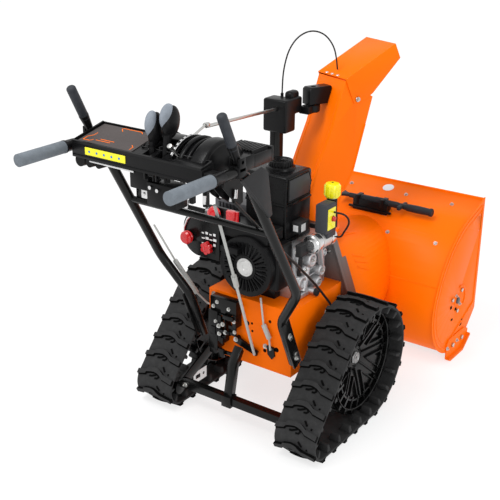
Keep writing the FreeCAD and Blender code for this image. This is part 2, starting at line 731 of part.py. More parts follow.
def housing_side():
    """Right side plate, bored for the auger shaft and drilled for a drift cutter."""
    side = side_outline(HOUSE_HALF_W - SHEET).extrude(Vector(SHEET, 0, 0))
    inner = HOUSE_HALF_W - SHEET - 1
    outer = HOUSE_HALF_W + 1
    holes = [x_rod(inner, outer, AUGER_Y, AUGER_Z, SHAFT_R + RUN_FIT)]
    for step in (-0.5, 0.5):
        holes.append(x_rod(inner, outer, CUTTER_Y, CUTTER_Z + step * CUTTER_PITCH, CUTTER_HOLE_R))
    return side.cut(Part.makeCompound(holes))


def scraper_bar():
    _, _, lip = wrap_edges(0, 0)
    turn = math.radians(WRAP_LOW_ANGLE + 90.0)
    along = (math.cos(turn), math.sin(turn))
    down = (math.sin(turn), -math.cos(turn))
    start = (lip[0] - SCRAPER_BACK * along[0], lip[1] - SCRAPER_BACK * along[1])
    end = (start[0] + SCRAPER_REACH * along[0], start[1] + SCRAPER_REACH * along[1])
    points = [start, end,
              (end[0] + SCRAPER_THICK * down[0], end[1] + SCRAPER_THICK * down[1]),
              (start[0] + SCRAPER_THICK * down[0], start[1] + SCRAPER_THICK * down[1])]
    half = HOUSE_HALF_W - SHEET - SEAT_GAP
    return plate_x(points, -half, half)


def skid_shoe():
    back = SKID_REAR_Y
    front = back + SKID_LENGTH
    flat = back + 11
    inner_x = HOUSE_HALF_W
    plate = plate_x([
        (back, 8), (flat, 0), (flat + SKID_FLAT, 0), (front, 42), (front, 64),
        (front - 38, SKID_HEIGHT), (back + 12, SKID_HEIGHT), (back, SKID_HEIGHT - 12),
    ], inner_x, inner_x + SKID_PLATE)
    foot = plate_x([
        (back, 8), (flat, 0), (flat + SKID_FLAT, 0), (front, 42), (front - 4, 42 + SKID_FOOT),
        (flat + SKID_FLAT - 3, SKID_FOOT), (flat + 2, SKID_FOOT), (back + 4, 8 + SKID_FOOT),
    ], inner_x, SKID_OUT)
    return fuse([plate, foot])


def impeller_drum():
    outer = y_rod(0, DRUM_REAR_Y, AUGER_Y, DRUM_Z, DRUM_R)
    inner = y_rod(0, DRUM_REAR_Y + SHEET, AUGER_Y + 1, DRUM_Z, DRUM_R - SHEET)
    drum = outer.cut(inner).cut(wrap_block(0.05, HOUSE_HALF_W))
    drum = drum.cut(y_rod(0, DRUM_REAR_Y - 1, DRUM_REAR_Y + SHEET + 1, DRUM_Z, SHAFT_R + RUN_FIT))
    return drum.cut(z_rod(CHUTE_X, CHUTE_Y, DRUM_Z, COLLAR_TOP_Z, COLLAR_R - SHEET))


def chute_base():
    collar = pipe(Vector(CHUTE_X, CHUTE_Y, DRUM_Z + 60), Vector(CHUTE_X, CHUTE_Y, COLLAR_TOP_Z),
                  COLLAR_R, COLLAR_R - SHEET)
    flange = pipe(Vector(CHUTE_X, CHUTE_Y, COLLAR_TOP_Z - 6), Vector(CHUTE_X, CHUTE_Y, COLLAR_TOP_Z),
                  COLLAR_R + COLLAR_FLANGE, COLLAR_R - SHEET)
    return fuse([collar, flange]).cut(y_rod(0, DRUM_REAR_Y - 60, AUGER_Y, DRUM_Z, DRUM_R + 0.05))


# ================================================================ auger and impeller
def ribbon(first_x, length, phase, hand):
    """One helical ribbon about the auger shaft."""
    helix = Part.makeHelix(AUGER_PITCH, length, AUGER_R - RIBBON_WIDTH / 2, 0, hand)
    middle = AUGER_R - RIBBON_WIDTH / 2
    half = RIBBON_WIDTH / 2
    corners = [Vector(middle - half, 0, -RIBBON_THICK / 2), Vector(middle + half, 0, -RIBBON_THICK / 2),
               Vector(middle + half, 0, RIBBON_THICK / 2), Vector(middle - half, 0, RIBBON_THICK / 2)]
    profile = Part.makePolygon(corners + corners[:1])
    blade = Part.Wire(helix.Edges).makePipeShell([profile], True, True)
    blade.rotate(Vector(0, 0, 0), Z_AXIS, phase)
    blade.rotate(Vector(0, 0, 0), Y_AXIS, 90)
    blade.translate(Vector(first_x, AUGER_Y, AUGER_Z))
    return blade


def auger_side():
    """The right rake: two ribbons on spokes, welded to a sleeve."""
    first = CASE_HALF_W + 6
    last = HOUSE_HALF_W - SHEET - AUGER_END_GAP
    sleeve = pipe(Vector(first, AUGER_Y, AUGER_Z), Vector(last, AUGER_Y, AUGER_Z),
                  SLEEVE_R, SHAFT_R + RUN_FIT)
    start = first + 12
    length = last - first - 24
    pieces = [sleeve]
    for phase in (0, 180):
        pieces.append(ribbon(start, length, phase, False))
        for share in (0.12, 0.5, 0.88):
            turn = phase + 360.0 * share * length / AUGER_PITCH
            bar = box(-RIBBON_THICK, RIBBON_THICK, -9, 9, SHAFT_R + 2, AUGER_R - RIBBON_WIDTH / 2)
            bar.rotate(Vector(0, 0, 0), X_AXIS, RIBBON_TURN + turn)
            bar.translate(Vector(start + share * length, AUGER_Y, AUGER_Z))
            pieces.append(bar)
    return fuse(pieces)


RIBBON_TURN = 180.0     # a ribbon starts opposite to the spoke's own upright


def auger_shaft():
    return x_rod(-HOUSE_HALF_W - 8, HOUSE_HALF_W + 8, AUGER_Y, AUGER_Z, SHAFT_R)


def gear_case():
    low = x_rod(-CASE_HALF_W, CASE_HALF_W, AUGER_Y, AUGER_Z, CASE_R)
    high = box(-CASE_HALF_W + 8, CASE_HALF_W - 8, AUGER_Y - 66, AUGER_Y + 14, AUGER_Z, DRUM_Z + 24)
    nose = y_rod(0, AUGER_Y - 92, AUGER_Y - 60, DRUM_Z, SHAFT_R + 12)
    case = fuse([low, high, nose])
    case = case.cut(x_rod(-CASE_HALF_W - 1, CASE_HALF_W + 1, AUGER_Y, AUGER_Z, SHAFT_R + RUN_FIT))
    return case.cut(y_rod(0, AUGER_Y - 93, AUGER_Y - 20, DRUM_Z, SHAFT_R + RUN_FIT))


def grooved_pulley(radius, z, bore):
    first = PULLEY_Y
    last = PULLEY_Y + PULLEY_WIDTH
    middle = (first + last) / 2
    half = (DRIVE_BELT_WIDTH + 3) / 2
    wheel = y_rod(0, first, last, z, radius)
    groove = pipe(Vector(0, middle - half, z), Vector(0, middle + half, z), radius + 1, radius - GROOVE_DEPTH)
    return wheel.cut(groove).cut(y_rod(0, first - 1, last + 1, z, bore))


def impeller():
    """Hub, blades and back plate, the shaft and its pulley."""
    back = IMPELLER_REAR_Y
    hub = y_rod(0, back, back + IMPELLER_LENGTH, DRUM_Z, IMPELLER_HUB_R)
    pieces = [hub]
    for index in range(BLADE_COUNT):
        blade = box(-BLADE_THICK / 2, BLADE_THICK / 2, back + 8, back + IMPELLER_LENGTH - 4,
                    IMPELLER_HUB_R - 3, IMPELLER_R)
        blade.rotate(Vector(0, 0, 0), Y_AXIS, 360.0 * index / BLADE_COUNT + 20)
        blade.translate(Vector(0, 0, DRUM_Z))
        pieces.append(blade)
    pieces.append(y_rod(0, back + 4, back + 10, DRUM_Z, IMPELLER_R * 0.6))
    wheel = fuse(pieces).cut(y_rod(0, back - 1, back + IMPELLER_LENGTH + 1, DRUM_Z, SHAFT_R))
    shaft = y_rod(0, PULLEY_Y - 4, AUGER_Y - 26, DRUM_Z, SHAFT_R)
    return [wheel, shaft, grooved_pulley(PULLEY_R, DRUM_Z, SHAFT_R)]


def drive_belt():
    """The V-belt from the engine pulley down to the impeller pulley."""
    low_r = PULLEY_R - GROOVE_DEPTH + SEAT_GAP
    high_r = ENGINE_PULLEY_R - GROOVE_DEPTH + SEAT_GAP
    middle = PULLEY_Y + PULLEY_WIDTH / 2
    span = CRANK_Z - DRUM_Z

    def loop(grow):
        lean = math.degrees(math.asin((low_r - high_r) / span))
        ends = [around(0, CRANK_Z, high_r + grow, a) for a in (lean, 90, 180 - lean)]
        foot = [around(0, DRUM_Z, low_r + grow, a) for a in (180 - lean, 270, 360 + lean)]
        top = [Vector(x, middle - DRIVE_BELT_WIDTH / 2, z) for x, z in ends]
        low = [Vector(x, middle - DRIVE_BELT_WIDTH / 2, z) for x, z in foot]
        edges = [Part.Arc(*top).toShape(), Part.LineSegment(top[2], low[0]).toShape(),
                 Part.Arc(*low).toShape(), Part.LineSegment(low[2], top[0]).toShape()]
        return Part.Face(Part.Wire(edges)).extrude(Vector(0, DRIVE_BELT_WIDTH, 0))

    return loop(DRIVE_BELT_THICK).cut(loop(0))


# ================================================================ engine
def crankshaft():
    """The crankshaft, the flywheel and the engine pulley."""
    shaft = y_rod(0, RECOIL_REAR_Y + 22, PULLEY_Y + PULLEY_WIDTH + 4, CRANK_Z, CRANK_R)
    wheel = y_rod(0, FLYWHEEL_Y, FLYWHEEL_Y + FLYWHEEL_THICK, CRANK_Z, FLYWHEEL_R)
    wheel = wheel.cut(y_rod(0, FLYWHEEL_Y - 1, FLYWHEEL_Y + FLYWHEEL_THICK + 1, CRANK_Z, CRANK_R))
    return [shaft, wheel, grooved_pulley(ENGINE_PULLEY_R, CRANK_Z, CRANK_R)]


def head_top():
    return CASE_TOP_Z - CYLINDER_HIGH + HEAD_GROW


def crankcase():
    """Cast crankcase, cylinder and head, drain pipe and the neck of the oil filler."""
    body = box(CASE_LEFT, CASE_RIGHT, CASE_REAR_Y, CASE_FRONT_Y, FRAME_TOP_Z, CASE_TOP_Z)
    rear = CASE_REAR_Y + CYLINDER_REAR
    front = CASE_FRONT_Y - CYLINDER_FRONT
    low = FRAME_TOP_Z + CYLINDER_LOW
    high = CASE_TOP_Z - CYLINDER_HIGH
    cylinder = box(CASE_LEFT - CYLINDER_REACH, CASE_LEFT + 1, rear, front, low, high)
    head = box(CASE_LEFT - HEAD_REACH, CASE_LEFT - CYLINDER_REACH + 1, rear - HEAD_GROW, front + HEAD_GROW,
               low - HEAD_GROW, head_top())
    drain = x_rod(CASE_RIGHT - 1, CASE_RIGHT + DRAIN_REACH, DRAIN_Y, FRAME_TOP_Z + DRAIN_RISE, DRAIN_R)
    shelf = box(CASE_RIGHT - 1, OIL_X + OIL_NECK_R, OIL_Y - OIL_NECK_R, CASE_FRONT_Y,
                CASE_TOP_Z - OIL_SHELF, CASE_TOP_Z)
    case = fuse([body, cylinder, head, drain, shelf])
    case = case.cut(y_rod(0, CASE_REAR_Y - 1, CASE_FRONT_Y + 1, CRANK_Z, CRANK_R + RUN_FIT))
    neck = z_rod(OIL_X, OIL_Y, CASE_TOP_Z, OIL_NECK_TOP_Z, OIL_NECK_R)
    return [case, neck]


def engine_cowl():
    return box(TANK_LEFT, TANK_RIGHT, TANK_REAR_Y, TANK_FRONT_Y, CASE_TOP_Z, TANK_SEAM_Z)


def fuel_tank():
    body = box(TANK_LEFT, TANK_RIGHT, TANK_REAR_Y, TANK_FRONT_Y, TANK_SEAM_Z + SEAT_GAP, TANK_TOP_Z)
    body = body.makeFillet(TANK_ROUND, [edge for edge in body.Edges if edge.BoundBox.ZMin > TANK_TOP_Z - 1])
    neck = z_rod(FUEL_CAP_X, FUEL_CAP_Y, TANK_TOP_Z - 1, TANK_TOP_Z + FUEL_NECK_H, FUEL_NECK_R)
    return fuse([body, neck])


def fuel_cap():
    low = TANK_TOP_Z + SEAT_GAP
    cap = z_rod(FUEL_CAP_X, FUEL_CAP_Y, low, low + FUEL_CAP_H, FUEL_CAP_R)
    hollow = z_rod(FUEL_CAP_X, FUEL_CAP_Y, low - 1, low + FUEL_NECK_H + 1, FUEL_NECK_R + RUN_FIT)
    return cap.cut(hollow)


def oil_cap():
    low = OIL_NECK_TOP_Z - 14
    cap = z_rod(OIL_X, OIL_Y, low, low + OIL_CAP_H + 14, OIL_CAP_R)
    hollow = z_rod(OIL_X, OIL_Y, low - 1, OIL_NECK_TOP_Z + SEAT_GAP, OIL_NECK_R + RUN_FIT)
    return cap.cut(hollow)


def recoil_cover():
    rear = RECOIL_REAR_Y
    front = CASE_REAR_Y
    shell = y_rod(0, rear, front, CRANK_Z, RECOIL_R)
    hollow = y_rod(0, rear + RECOIL_WALL, front + 1, CRANK_Z, RECOIL_R - RECOIL_WALL)
    cover = shell.cut(hollow)
    slots = []
    for index in range(RECOIL_SLOTS):
        slot = box(-2.5, 2.5, rear - 1, rear + RECOIL_WALL + 1, 0.42 * RECOIL_R, 0.82 * RECOIL_R)
        slot.rotate(Vector(0, 0, 0), Y_AXIS, 360.0 * index / RECOIL_SLOTS)
        slot.translate(Vector(0, 0, CRANK_Z))
        slots.append(slot)
    foot = box(-RECOIL_FOOT_HALF, RECOIL_FOOT_HALF, front - RECOIL_FOOT_DEPTH, front,
               FRAME_TOP_Z, CRANK_Z - RECOIL_R + 2 * RECOIL_WALL)
    return fuse([cover.cut(Part.makeCompound(slots)), foot])


def recoil_handle():
    """Pull handle with its rope's stub, seated on the recoil cover's upper left."""
    angle = math.radians(RECOIL_HANDLE_ANGLE)
    x = 0.72 * RECOIL_R * math.cos(angle)
    z = CRANK_Z + 0.72 * RECOIL_R * math.sin(angle)
    seat = RECOIL_REAR_Y - SEAT_GAP
    rear = seat - RECOIL_ROPE_OUT
    half = RECOIL_HANDLE_DEPTH / 2
    grip = box(x - RECOIL_HANDLE_HALF, x + RECOIL_HANDLE_HALF, rear - RECOIL_HANDLE_DEPTH, rear,
               z - half, z + half)
    stem = y_rod(x, rear - 1, seat, z, RECOIL_ROPE_R)
    return fuse([grip, stem])


def muffler():
    """Muffler box on the left of the cylinder head."""
    head_left = CASE_LEFT - HEAD_REACH
    body = box(head_left - MUFFLER_LEFT, head_left + MUFFLER_RIGHT, CASE_REAR_Y + MUFFLER_REAR,
               CASE_FRONT_Y - MUFFLER_FRONT, CASE_TOP_Z, CASE_TOP_Z + MUFFLER_HEIGHT)
    body = body.cut(box(TANK_LEFT - SEAT_GAP, CASE_RIGHT, CASE_REAR_Y, CASE_FRONT_Y, CASE_TOP_Z - 1,
                        CASE_TOP_Z + MUFFLER_HEIGHT + 1))
    port_x = head_left + PORT_R + HEAD_GROW
    port = z_rod(port_x, (CASE_REAR_Y + CASE_FRONT_Y) / 2 - PORT_R, head_top(), CASE_TOP_Z + 1, PORT_R)
    return fuse([body, port])


def starter_motor():
    """Electric starter on the crankcase's right, with its switch box on top."""
    front = STARTER_REAR_Y + STARTER_LENGTH
    body = y_rod(STARTER_X, STARTER_REAR_Y, front, STARTER_Z, STARTER_R)
    flange = y_rod(STARTER_X, STARTER_REAR_Y, STARTER_REAR_Y + STARTER_FLANGE, STARTER_Z,
                   STARTER_R + STARTER_FLANGE_OUT)
    seat = box(CASE_RIGHT, STARTER_X, STARTER_REAR_Y + 4, front - 30, STARTER_Z - 22, STARTER_Z - 6)
    motor = fuse([body, flange, seat])
    low = STARTER_Z + STARTER_R + STARTER_FLANGE_OUT
    switch = box(SWITCH_LEFT, SWITCH_RIGHT, SWITCH_REAR_Y, SWITCH_FRONT_Y, low, SWITCH_TOP_Z)
    hole = x_rod(SWITCH_RIGHT - BUTTON_DEPTH, SWITCH_RIGHT + 1, button_y(), button_z(), BUTTON_R + RUN_FIT)
    saddle = box(SWITCH_LEFT + 6, SWITCH_RIGHT - 10, SWITCH_REAR_Y + 24, SWITCH_FRONT_Y - 8,
                 STARTER_Z + 10, low)
    saddle = saddle.cut(motor)
    return [motor, fuse([switch.cut(hole), saddle])]


def button_y():
    return SWITCH_REAR_Y + 0.68 * (SWITCH_FRONT_Y - SWITCH_REAR_Y)


def button_z():
    return SWITCH_TOP_Z - BUTTON_BELOW


def starter_button():
    inner = SWITCH_RIGHT - BUTTON_DEPTH + BUTTON_TRAVEL + SEAT_GAP
    return x_rod(inner, SWITCH_RIGHT + BUTTON_OUT, button_y(), button_z(), BUTTON_R)


PANEL_HEIGHT = PANEL_TOP_Z - PANEL_LOW_Z
CHOKE = (PANEL_LEFT + 24, PANEL_LOW_Z + 0.40 * PANEL_HEIGHT)
THROTTLE = (PANEL_LEFT + 99, PANEL_LOW_Z + 0.26 * PANEL_HEIGHT)
PRIMER = (PANEL_RIGHT - 12, PANEL_TOP_Z + 12)
KEY = (PANEL_RIGHT + 56, PANEL_TOP_Z + 16)


def control_panel():
    """Engine control panel with its box, which bolts to the cylinder head."""
    rear = PANEL_REAR_Y
    front = rear + PANEL_THICK
    plate = box(PANEL_LEFT, PANEL_RIGHT, rear, front, PANEL_LOW_Z, PANEL_TOP_Z)
    corners = [edge for edge in plate.Edges if edge.BoundBox.XMax < PANEL_LEFT + 1
               and edge.BoundBox.YLength > 1]
    plate = plate.makeFillet(0.42 * PANEL_HEIGHT, corners)
    tab = plate_y([(PANEL_RIGHT - 40, PANEL_TOP_Z - 1), (PANEL_RIGHT, PANEL_TOP_Z - 30),
                   (KEY[0] + 18, KEY[1] - 16), (KEY[0] + 18, KEY[1] + 16),
                   (PANEL_RIGHT - 40, KEY[1] + 16)], rear, front)
    back = box(PANEL_LEFT + 20, PANEL_RIGHT - 2, front - 1, front + PANEL_BOX_DEPTH,
               PANEL_LOW_Z + 18, PANEL_TOP_Z - 20)
    seat = box(CASE_LEFT - HEAD_REACH + PANEL_SEAT_LEFT, PANEL_RIGHT - 6, front + PANEL_BOX_DEPTH - 1,
               CASE_REAR_Y + CYLINDER_REAR - HEAD_GROW, PANEL_LOW_Z + 22, head_top() - 1)
    panel = fuse([plate, tab, back, seat])
    for x, z in (CHOKE, THROTTLE, PRIMER, KEY):
        panel = panel.cut(y_rod(x, rear - 1, front + KNOB_BORE_DEPTH, z, KNOB_STEM_R + RUN_FIT))
    return panel


def panel_knob(place, radius, depth, stand):
    """A knob on a stem that runs in the panel."""
    x, z = place
    rear = PANEL_REAR_Y
    stem = y_rod(x, rear - stand - 1, rear + PANEL_THICK - 1, z, KNOB_STEM_R)
    head = y_rod(x, rear - stand - depth, rear - stand, z, radius)
    return fuse([stem, head])


def key():
    """The flat key beside the panel's top, on its stem."""
    x, z = KEY
    rear = PANEL_REAR_Y
    stem = y_rod(x, rear - 3, rear + PANEL_THICK - 1, z, KNOB_STEM_R)
    disc = z_rod(x, rear - 16, z - 20, z + 20, 14)
    bow = box(x - 20, x + 20, rear - 24, rear - 2, z - 20, z + 20)
    return fuse([stem, bow.common(fuse([disc, box(x - 20, x + 20, rear - 10, rear - 2, z - 18, z + 18)]))])


# ================================================================ belt cover
def belt_cover():
    def block(grow, y0, y1):
        points = [
            (COVER_LEFT - grow, COVER_BOTTOM_Z - grow), (COVER_NARROW_X + grow, COVER_BOTTOM_Z - grow),
            (COVER_NARROW_X + grow, COVER_STEP_Z - grow), (COVER_WIDE_X + grow, COVER_STEP_Z - grow),
            (COVER_WIDE_X + grow, COVER_STEP_Z + 16), (COVER_TOP_HALF + 28 + grow, COVER_TOP_Z - 52),
            (COVER_TOP_HALF + grow, COVER_TOP_Z + grow), (COVER_LEFT - grow, COVER_TOP_Z + grow),
        ]
        return plate_y(points, y0, y1)

    outer = block(0, COVER_REAR_Y, DRUM_REAR_Y - SEAT_GAP)
    inner = block(-COVER_WALL, COVER_REAR_Y + COVER_WALL, DRUM_REAR_Y)
    window = y_rod(0, COVER_REAR_Y - 1, COVER_REAR_Y + COVER_WALL + 1, CRANK_Z, CRANK_R + 6)
    ahead = box(COVER_LEFT - 1, COVER_WIDE_X + 1, COVER_SHORT_Y, DRUM_REAR_Y, DRUM_Z + DRUM_R, COVER_TOP_Z + 1)
    return outer.cut(inner).cut(window).cut(ahead)


# ================================================================ handlebars and dash
TUBE_FOOT_X = FRAME_HALF_W + TUBE_R + SEAT_GAP


def tube_x_at(z):
    """Height to x on the handlebar's long straight run."""
    share = (z - TUBE_KNEE_Z) / (HANDLE_Z - TUBE_KNEE_Z)
    return HANDLE_HALF_W + 6 - 6 * share


def tube_y_at(z):
    """Height to y on the handlebar's long straight run."""
    share = (z - TUBE_KNEE_Z) / (HANDLE_Z - TUBE_KNEE_Z)
    return TUBE_KNEE_Y + share * (TUBE_BEND_Y - TUBE_KNEE_Y)


def handlebar():
    points = [
        Vector(TUBE_FOOT_X, TUBE_END_Y, TUBE_END_Z),
        Vector(TUBE_FOOT_X, TUBE_FOOT_Y, TUBE_FOOT_Z),
        Vector(HANDLE_HALF_W + 6, TUBE_KNEE_Y, TUBE_KNEE_Z),
        Vector(HANDLE_HALF_W, TUBE_BEND_Y, HANDLE_Z),
        Vector(HANDLE_HALF_W, GRIP_END_Y + 8, HANDLE_Z),
    ]
    tube = swept(points, TUBE_R, 0.45, 90)
    y = LEVER_PIVOT_Y
    z = LEVER_PIVOT_Z
    left = HANDLE_HALF_W - CHEEK_OUT
    right = HANDLE_HALF_W + CHEEK_OUT
    cheek = box(left, left + CHEEK_THICK, y - 12, y + 12, HANDLE_Z + 2, z + 9)
    other = box(right - CHEEK_THICK, right, y - 12, y + 12, HANDLE_Z + 2, z + 9)
    foot = box(left, right, y - 12, y + 12, HANDLE_Z + 2, HANDLE_Z + TUBE_R + 2)
    foot = fuse([foot, cheek, other]).cut(x_rod(left - 1, right + 1, y, z, LEVER_PIN_R + RUN_FIT))
    return fuse([tube, foot])


def handlebars():
    """Both handlebars, the tie bar with the rod's guide, and the dash's stay."""
    right = handlebar()
    tie_y = tube_y_at(TIE_Z)
    tie_x = tube_x_at(TIE_Z) - TUBE_R
    tie = x_rod(-tie_x - 3, tie_x + 3, tie_y, TIE_Z, TIE_R)
    eye = shift_eye()
    bars = fuse([right, mirrored(right), tie, eye])
    foot_z = TIE_Z + TIE_R - 2
    low_y = tie_y - 2
    top_y = DASH_FRONT_Y
    top_z = DASH_SKIRT_Z + 20
    stay = plate_x([
        (low_y, foot_z), (low_y + STAY_THICK, foot_z), (low_y + STAY_THICK, STAY_BEND_Z),
        (top_y + STAY_THICK, top_z), (top_y, top_z), (low_y, STAY_BEND_Z - STAY_THICK / 2),
    ], STAY_LEFT, STAY_RIGHT)
    stay = stay.cut(x_rod(STAY_LEFT - 1, STAY_RIGHT + 1, tie_y, TIE_Z, TIE_R + RUN_FIT))
    return [bars, stay]


def grip():
    start = Vector(HANDLE_HALF_W, GRIP_START_Y, HANDLE_Z)
    end = Vector(HANDLE_HALF_W, GRIP_END_Y, HANDLE_Z)
    sleeve = rod(start, end, GRIP_R)
    return sleeve.cut(rod(start + Y_AXIS, Vector(HANDLE_HALF_W, GRIP_END_Y + 7.5, HANDLE_Z), TUBE_R + RUN_FIT))


def dash_z(y):
    return DASH_REAR_Z + DASH_SLOPE * (y - DASH_REAR_Y)


def dash_panel():
    """Dash tray: the sloping top, its skirts and the tabs to the handlebars."""
    rear = DASH_REAR_Y
    front = DASH_FRONT_Y
    strip = DASH_STRIP_Y

    def sloped(y0, y1, x0, x1, low):
        return plate_x([(y0, dash_z(y0)), (y1, dash_z(y1)), (y1, low(y1)), (y0, low(y0))], x0, x1)

    def under(y):
        return dash_z(y) - SHEET

    def skirt(y):
        return DASH_SKIRT_Z

    tab_reach = HANDLE_HALF_W - TUBE_R - 2 - SEAT_GAP
    pieces = [
        sloped(rear, front, DASH_LEFT, DASH_SPLIT_X, under),
        sloped(rear, strip, DASH_LEFT, DASH_RIGHT, under),
        sloped(rear, rear + SHEET, DASH_LEFT, DASH_RIGHT, skirt),
        sloped(front - SHEET, front, DASH_LEFT, DASH_SPLIT_X, skirt),
        sloped(rear, front, DASH_LEFT, DASH_LEFT + SHEET, skirt),
        sloped(rear, strip, DASH_RIGHT - SHEET, DASH_RIGHT, skirt),
        sloped(strip - SHEET, front, DASH_SPLIT_X - SHEET, DASH_SPLIT_X, skirt),
        box(-tab_reach, DASH_LEFT + 1, rear + 20, rear + 60, HANDLE_Z - 10, HANDLE_Z + 10),
        box(DASH_RIGHT - 1, tab_reach, rear + 4, strip - 4, HANDLE_Z - 10, HANDLE_Z + 10),
    ]
    for x in (CHUTE_STICK_X, DEFLECTOR_STICK_X):
        for side in (-1, 1):
            near = x + side * (STICK_R + 3)
            far = near + side * STICK_EAR
            pieces.append(box(min(near, far), max(near, far), STICK_Y - 10, STICK_Y + 10,
                              STICK_Z - 12, dash_z(STICK_Y - 10) - 1))
    dash = fuse(pieces)
    for x in (CHUTE_STICK_X, DEFLECTOR_STICK_X):
        slot = box(x - STICK_R - 3, x + STICK_R + 3, STICK_Y - STICK_SWING_ROOM, strip + 1,
                   DASH_SKIRT_Z + 10, dash_z(front))
        dash = dash.cut(slot)
    notch = box(SPEED_X - SPEED_SLOT_HALF, SPEED_X + SPEED_SLOT_HALF, strip - 22, strip + 1,
                DASH_SKIRT_Z + 10, dash_z(front))
    dash = dash.cut(notch)
    first = CHUTE_STICK_X - 2 * STICK_PIN_HALF
    last = DEFLECTOR_STICK_X + 2 * STICK_PIN_HALF
    return dash.cut(x_rod(first, last, STICK_Y, STICK_Z, STICK_PIN_R + RUN_FIT))


def speed_console():
    """Rounded console with the speed lever's slot and pin, and room for the two sticks."""
    left = DASH_SPLIT_X + SEAT_GAP
    right = CONSOLE_RIGHT
    rear = DASH_STRIP_Y + SEAT_GAP
    low = CONSOLE_LOW_Z

    def barrel(shrink):
        drum = x_rod(left + shrink, right - shrink, CONSOLE_Y, CONSOLE_Z, CONSOLE_R - shrink)
        keep = box(left, right, rear + shrink, CONSOLE_Y + CONSOLE_R, low + shrink, CONSOLE_Z + CONSOLE_R)
        return drum.common(keep)

    deck = box(left, LIGHT_RIGHT, CONSOLE_Y + 40, LIGHT_REAR_Y - SEAT_GAP, low, LIGHT_TOP_Z - 6)
    slot = box(SPEED_X - SPEED_SLOT_HALF, SPEED_X + SPEED_SLOT_HALF, rear - 1, CONSOLE_Y + 0.55 * CONSOLE_R,
               low + CONSOLE_WALL + 8, CONSOLE_Z + CONSOLE_R + 1)
    pocket = box(CHUTE_STICK_X - STICK_PIN_HALF - 6, DEFLECTOR_STICK_X + STICK_PIN_HALF + 4,
                 rear - 1, STICK_Y + 55, low - 1, CONSOLE_Z + CONSOLE_R + 1)
    shell = fuse([barrel(0), deck]).cut(barrel(CONSOLE_WALL)).cut(slot).cut(pocket)
    pin = x_rod(left + 1, right - 1, SPEED_PIVOT_Y, SPEED_PIVOT_Z, SPEED_PIN_R)
    wall_x = DEFLECTOR_STICK_X + STICK_PIN_HALF + 4
    pin = pin.cut(box(left, wall_x, SPEED_PIVOT_Y - CONSOLE_WALL - 1, SPEED_PIVOT_Y + CONSOLE_WALL + 1,
                      SPEED_PIVOT_Z - CONSOLE_WALL - 1, SPEED_PIVOT_Z + CONSOLE_WALL + 1))
    web = box(wall_x, wall_x + CONSOLE_WALL, rear, CONSOLE_Y, low, SPEED_PIVOT_Z + 12)
    return fuse([shell, pin, web.cut(slot)])


def headlight():
    body = box(LIGHT_LEFT, LIGHT_RIGHT, LIGHT_REAR_Y, LIGHT_FRONT_Y, LIGHT_LOW_Z, LIGHT_TOP_Z - 10)
    fins = []
    x = LIGHT_LEFT
    while x < LIGHT_RIGHT - 4:
        fins.append(box(x, x + 4, LIGHT_REAR_Y, LIGHT_FRONT_Y - 8, LIGHT_TOP_Z - 11, LIGHT_TOP_Z))
        x += 9
    return fuse([body] + fins)


def side_cover():
    """Knee-shaped guard plate on the outer side of the right handlebar."""
    inner = HANDLE_HALF_W + TUBE_R + 2 + SEAT_GAP
    front = GUARD_FRONT_Y
    rear = front - GUARD_REACH - 2 * GUARD_TIP + 4
    top = GUARD_TOP_Z
    tip = top - GUARD_DROP
    points = [(rear, top - 15), (front - 50, top), (front - 22, top - 20), (front, tip),
              (front - GUARD_TIP, tip - 5), (front - 60, tip + 49)]
    return plate_x(points, inner, inner + GUARD_THICK)


# ================================================================ levers
def clutch_lever():
    """Paddle on its pin: a flat bar with a rubber grip."""
    angle = math.radians(LEVER_ANGLE)
    y, z = LEVER_PIVOT_Y, LEVER_PIVOT_Z
    run = Vector(0, math.cos(angle), math.sin(angle))
    pivot = Vector(HANDLE_HALF_W, y, z)
    half = CHEEK_OUT - CHEEK_THICK - 1
    eye = x_rod(HANDLE_HALF_W - half, HANDLE_HALF_W + half, y, z, half)
    bar = rod(pivot, pivot + run * (LEVER_BARE + 4), 7)
    grip_part = rod(pivot + run * LEVER_BARE, pivot + run * LEVER_LENGTH, LEVER_GRIP_R)
    grip_part = grip_part.makeFillet(8, [edge for edge in grip_part.Edges if edge.BoundBox.ZMin > z + 90])
    pin = x_rod(HANDLE_HALF_W - CHEEK_OUT - 3, HANDLE_HALF_W + CHEEK_OUT + 3, y, z, LEVER_PIN_R)
    return fuse([eye, bar, grip_part, pin])


def stick(x, length, lean):
    """A stick lever with its padded head, on a cross pin."""
    stem = z_rod(x, STICK_Y, STICK_Z, STICK_Z + length - STICK_HEAD_LENGTH + 2, STICK_R)
    pin = x_rod(x - STICK_PIN_HALF, x + STICK_PIN_HALF, STICK_Y, STICK_Z, STICK_PIN_R)
    eye = x_rod(x - STICK_R, x + STICK_R, STICK_Y, STICK_Z, STICK_R)
    top = STICK_Z + length
    head = box(x - STICK_HEAD_X / 2, x + STICK_HEAD_X / 2, STICK_Y - STICK_HEAD_Y / 2,
               STICK_Y + STICK_HEAD_Y / 2, top - STICK_HEAD_LENGTH, top)
    head = head.makeFillet(0.38 * STICK_HEAD_Y, [edge for edge in head.Edges if edge.BoundBox.ZMax > top - 1])
    lever = fuse([stem, pin, eye, head])
    lever.rotate(Vector(x, STICK_Y, STICK_Z), X_AXIS, -lean)
    return lever


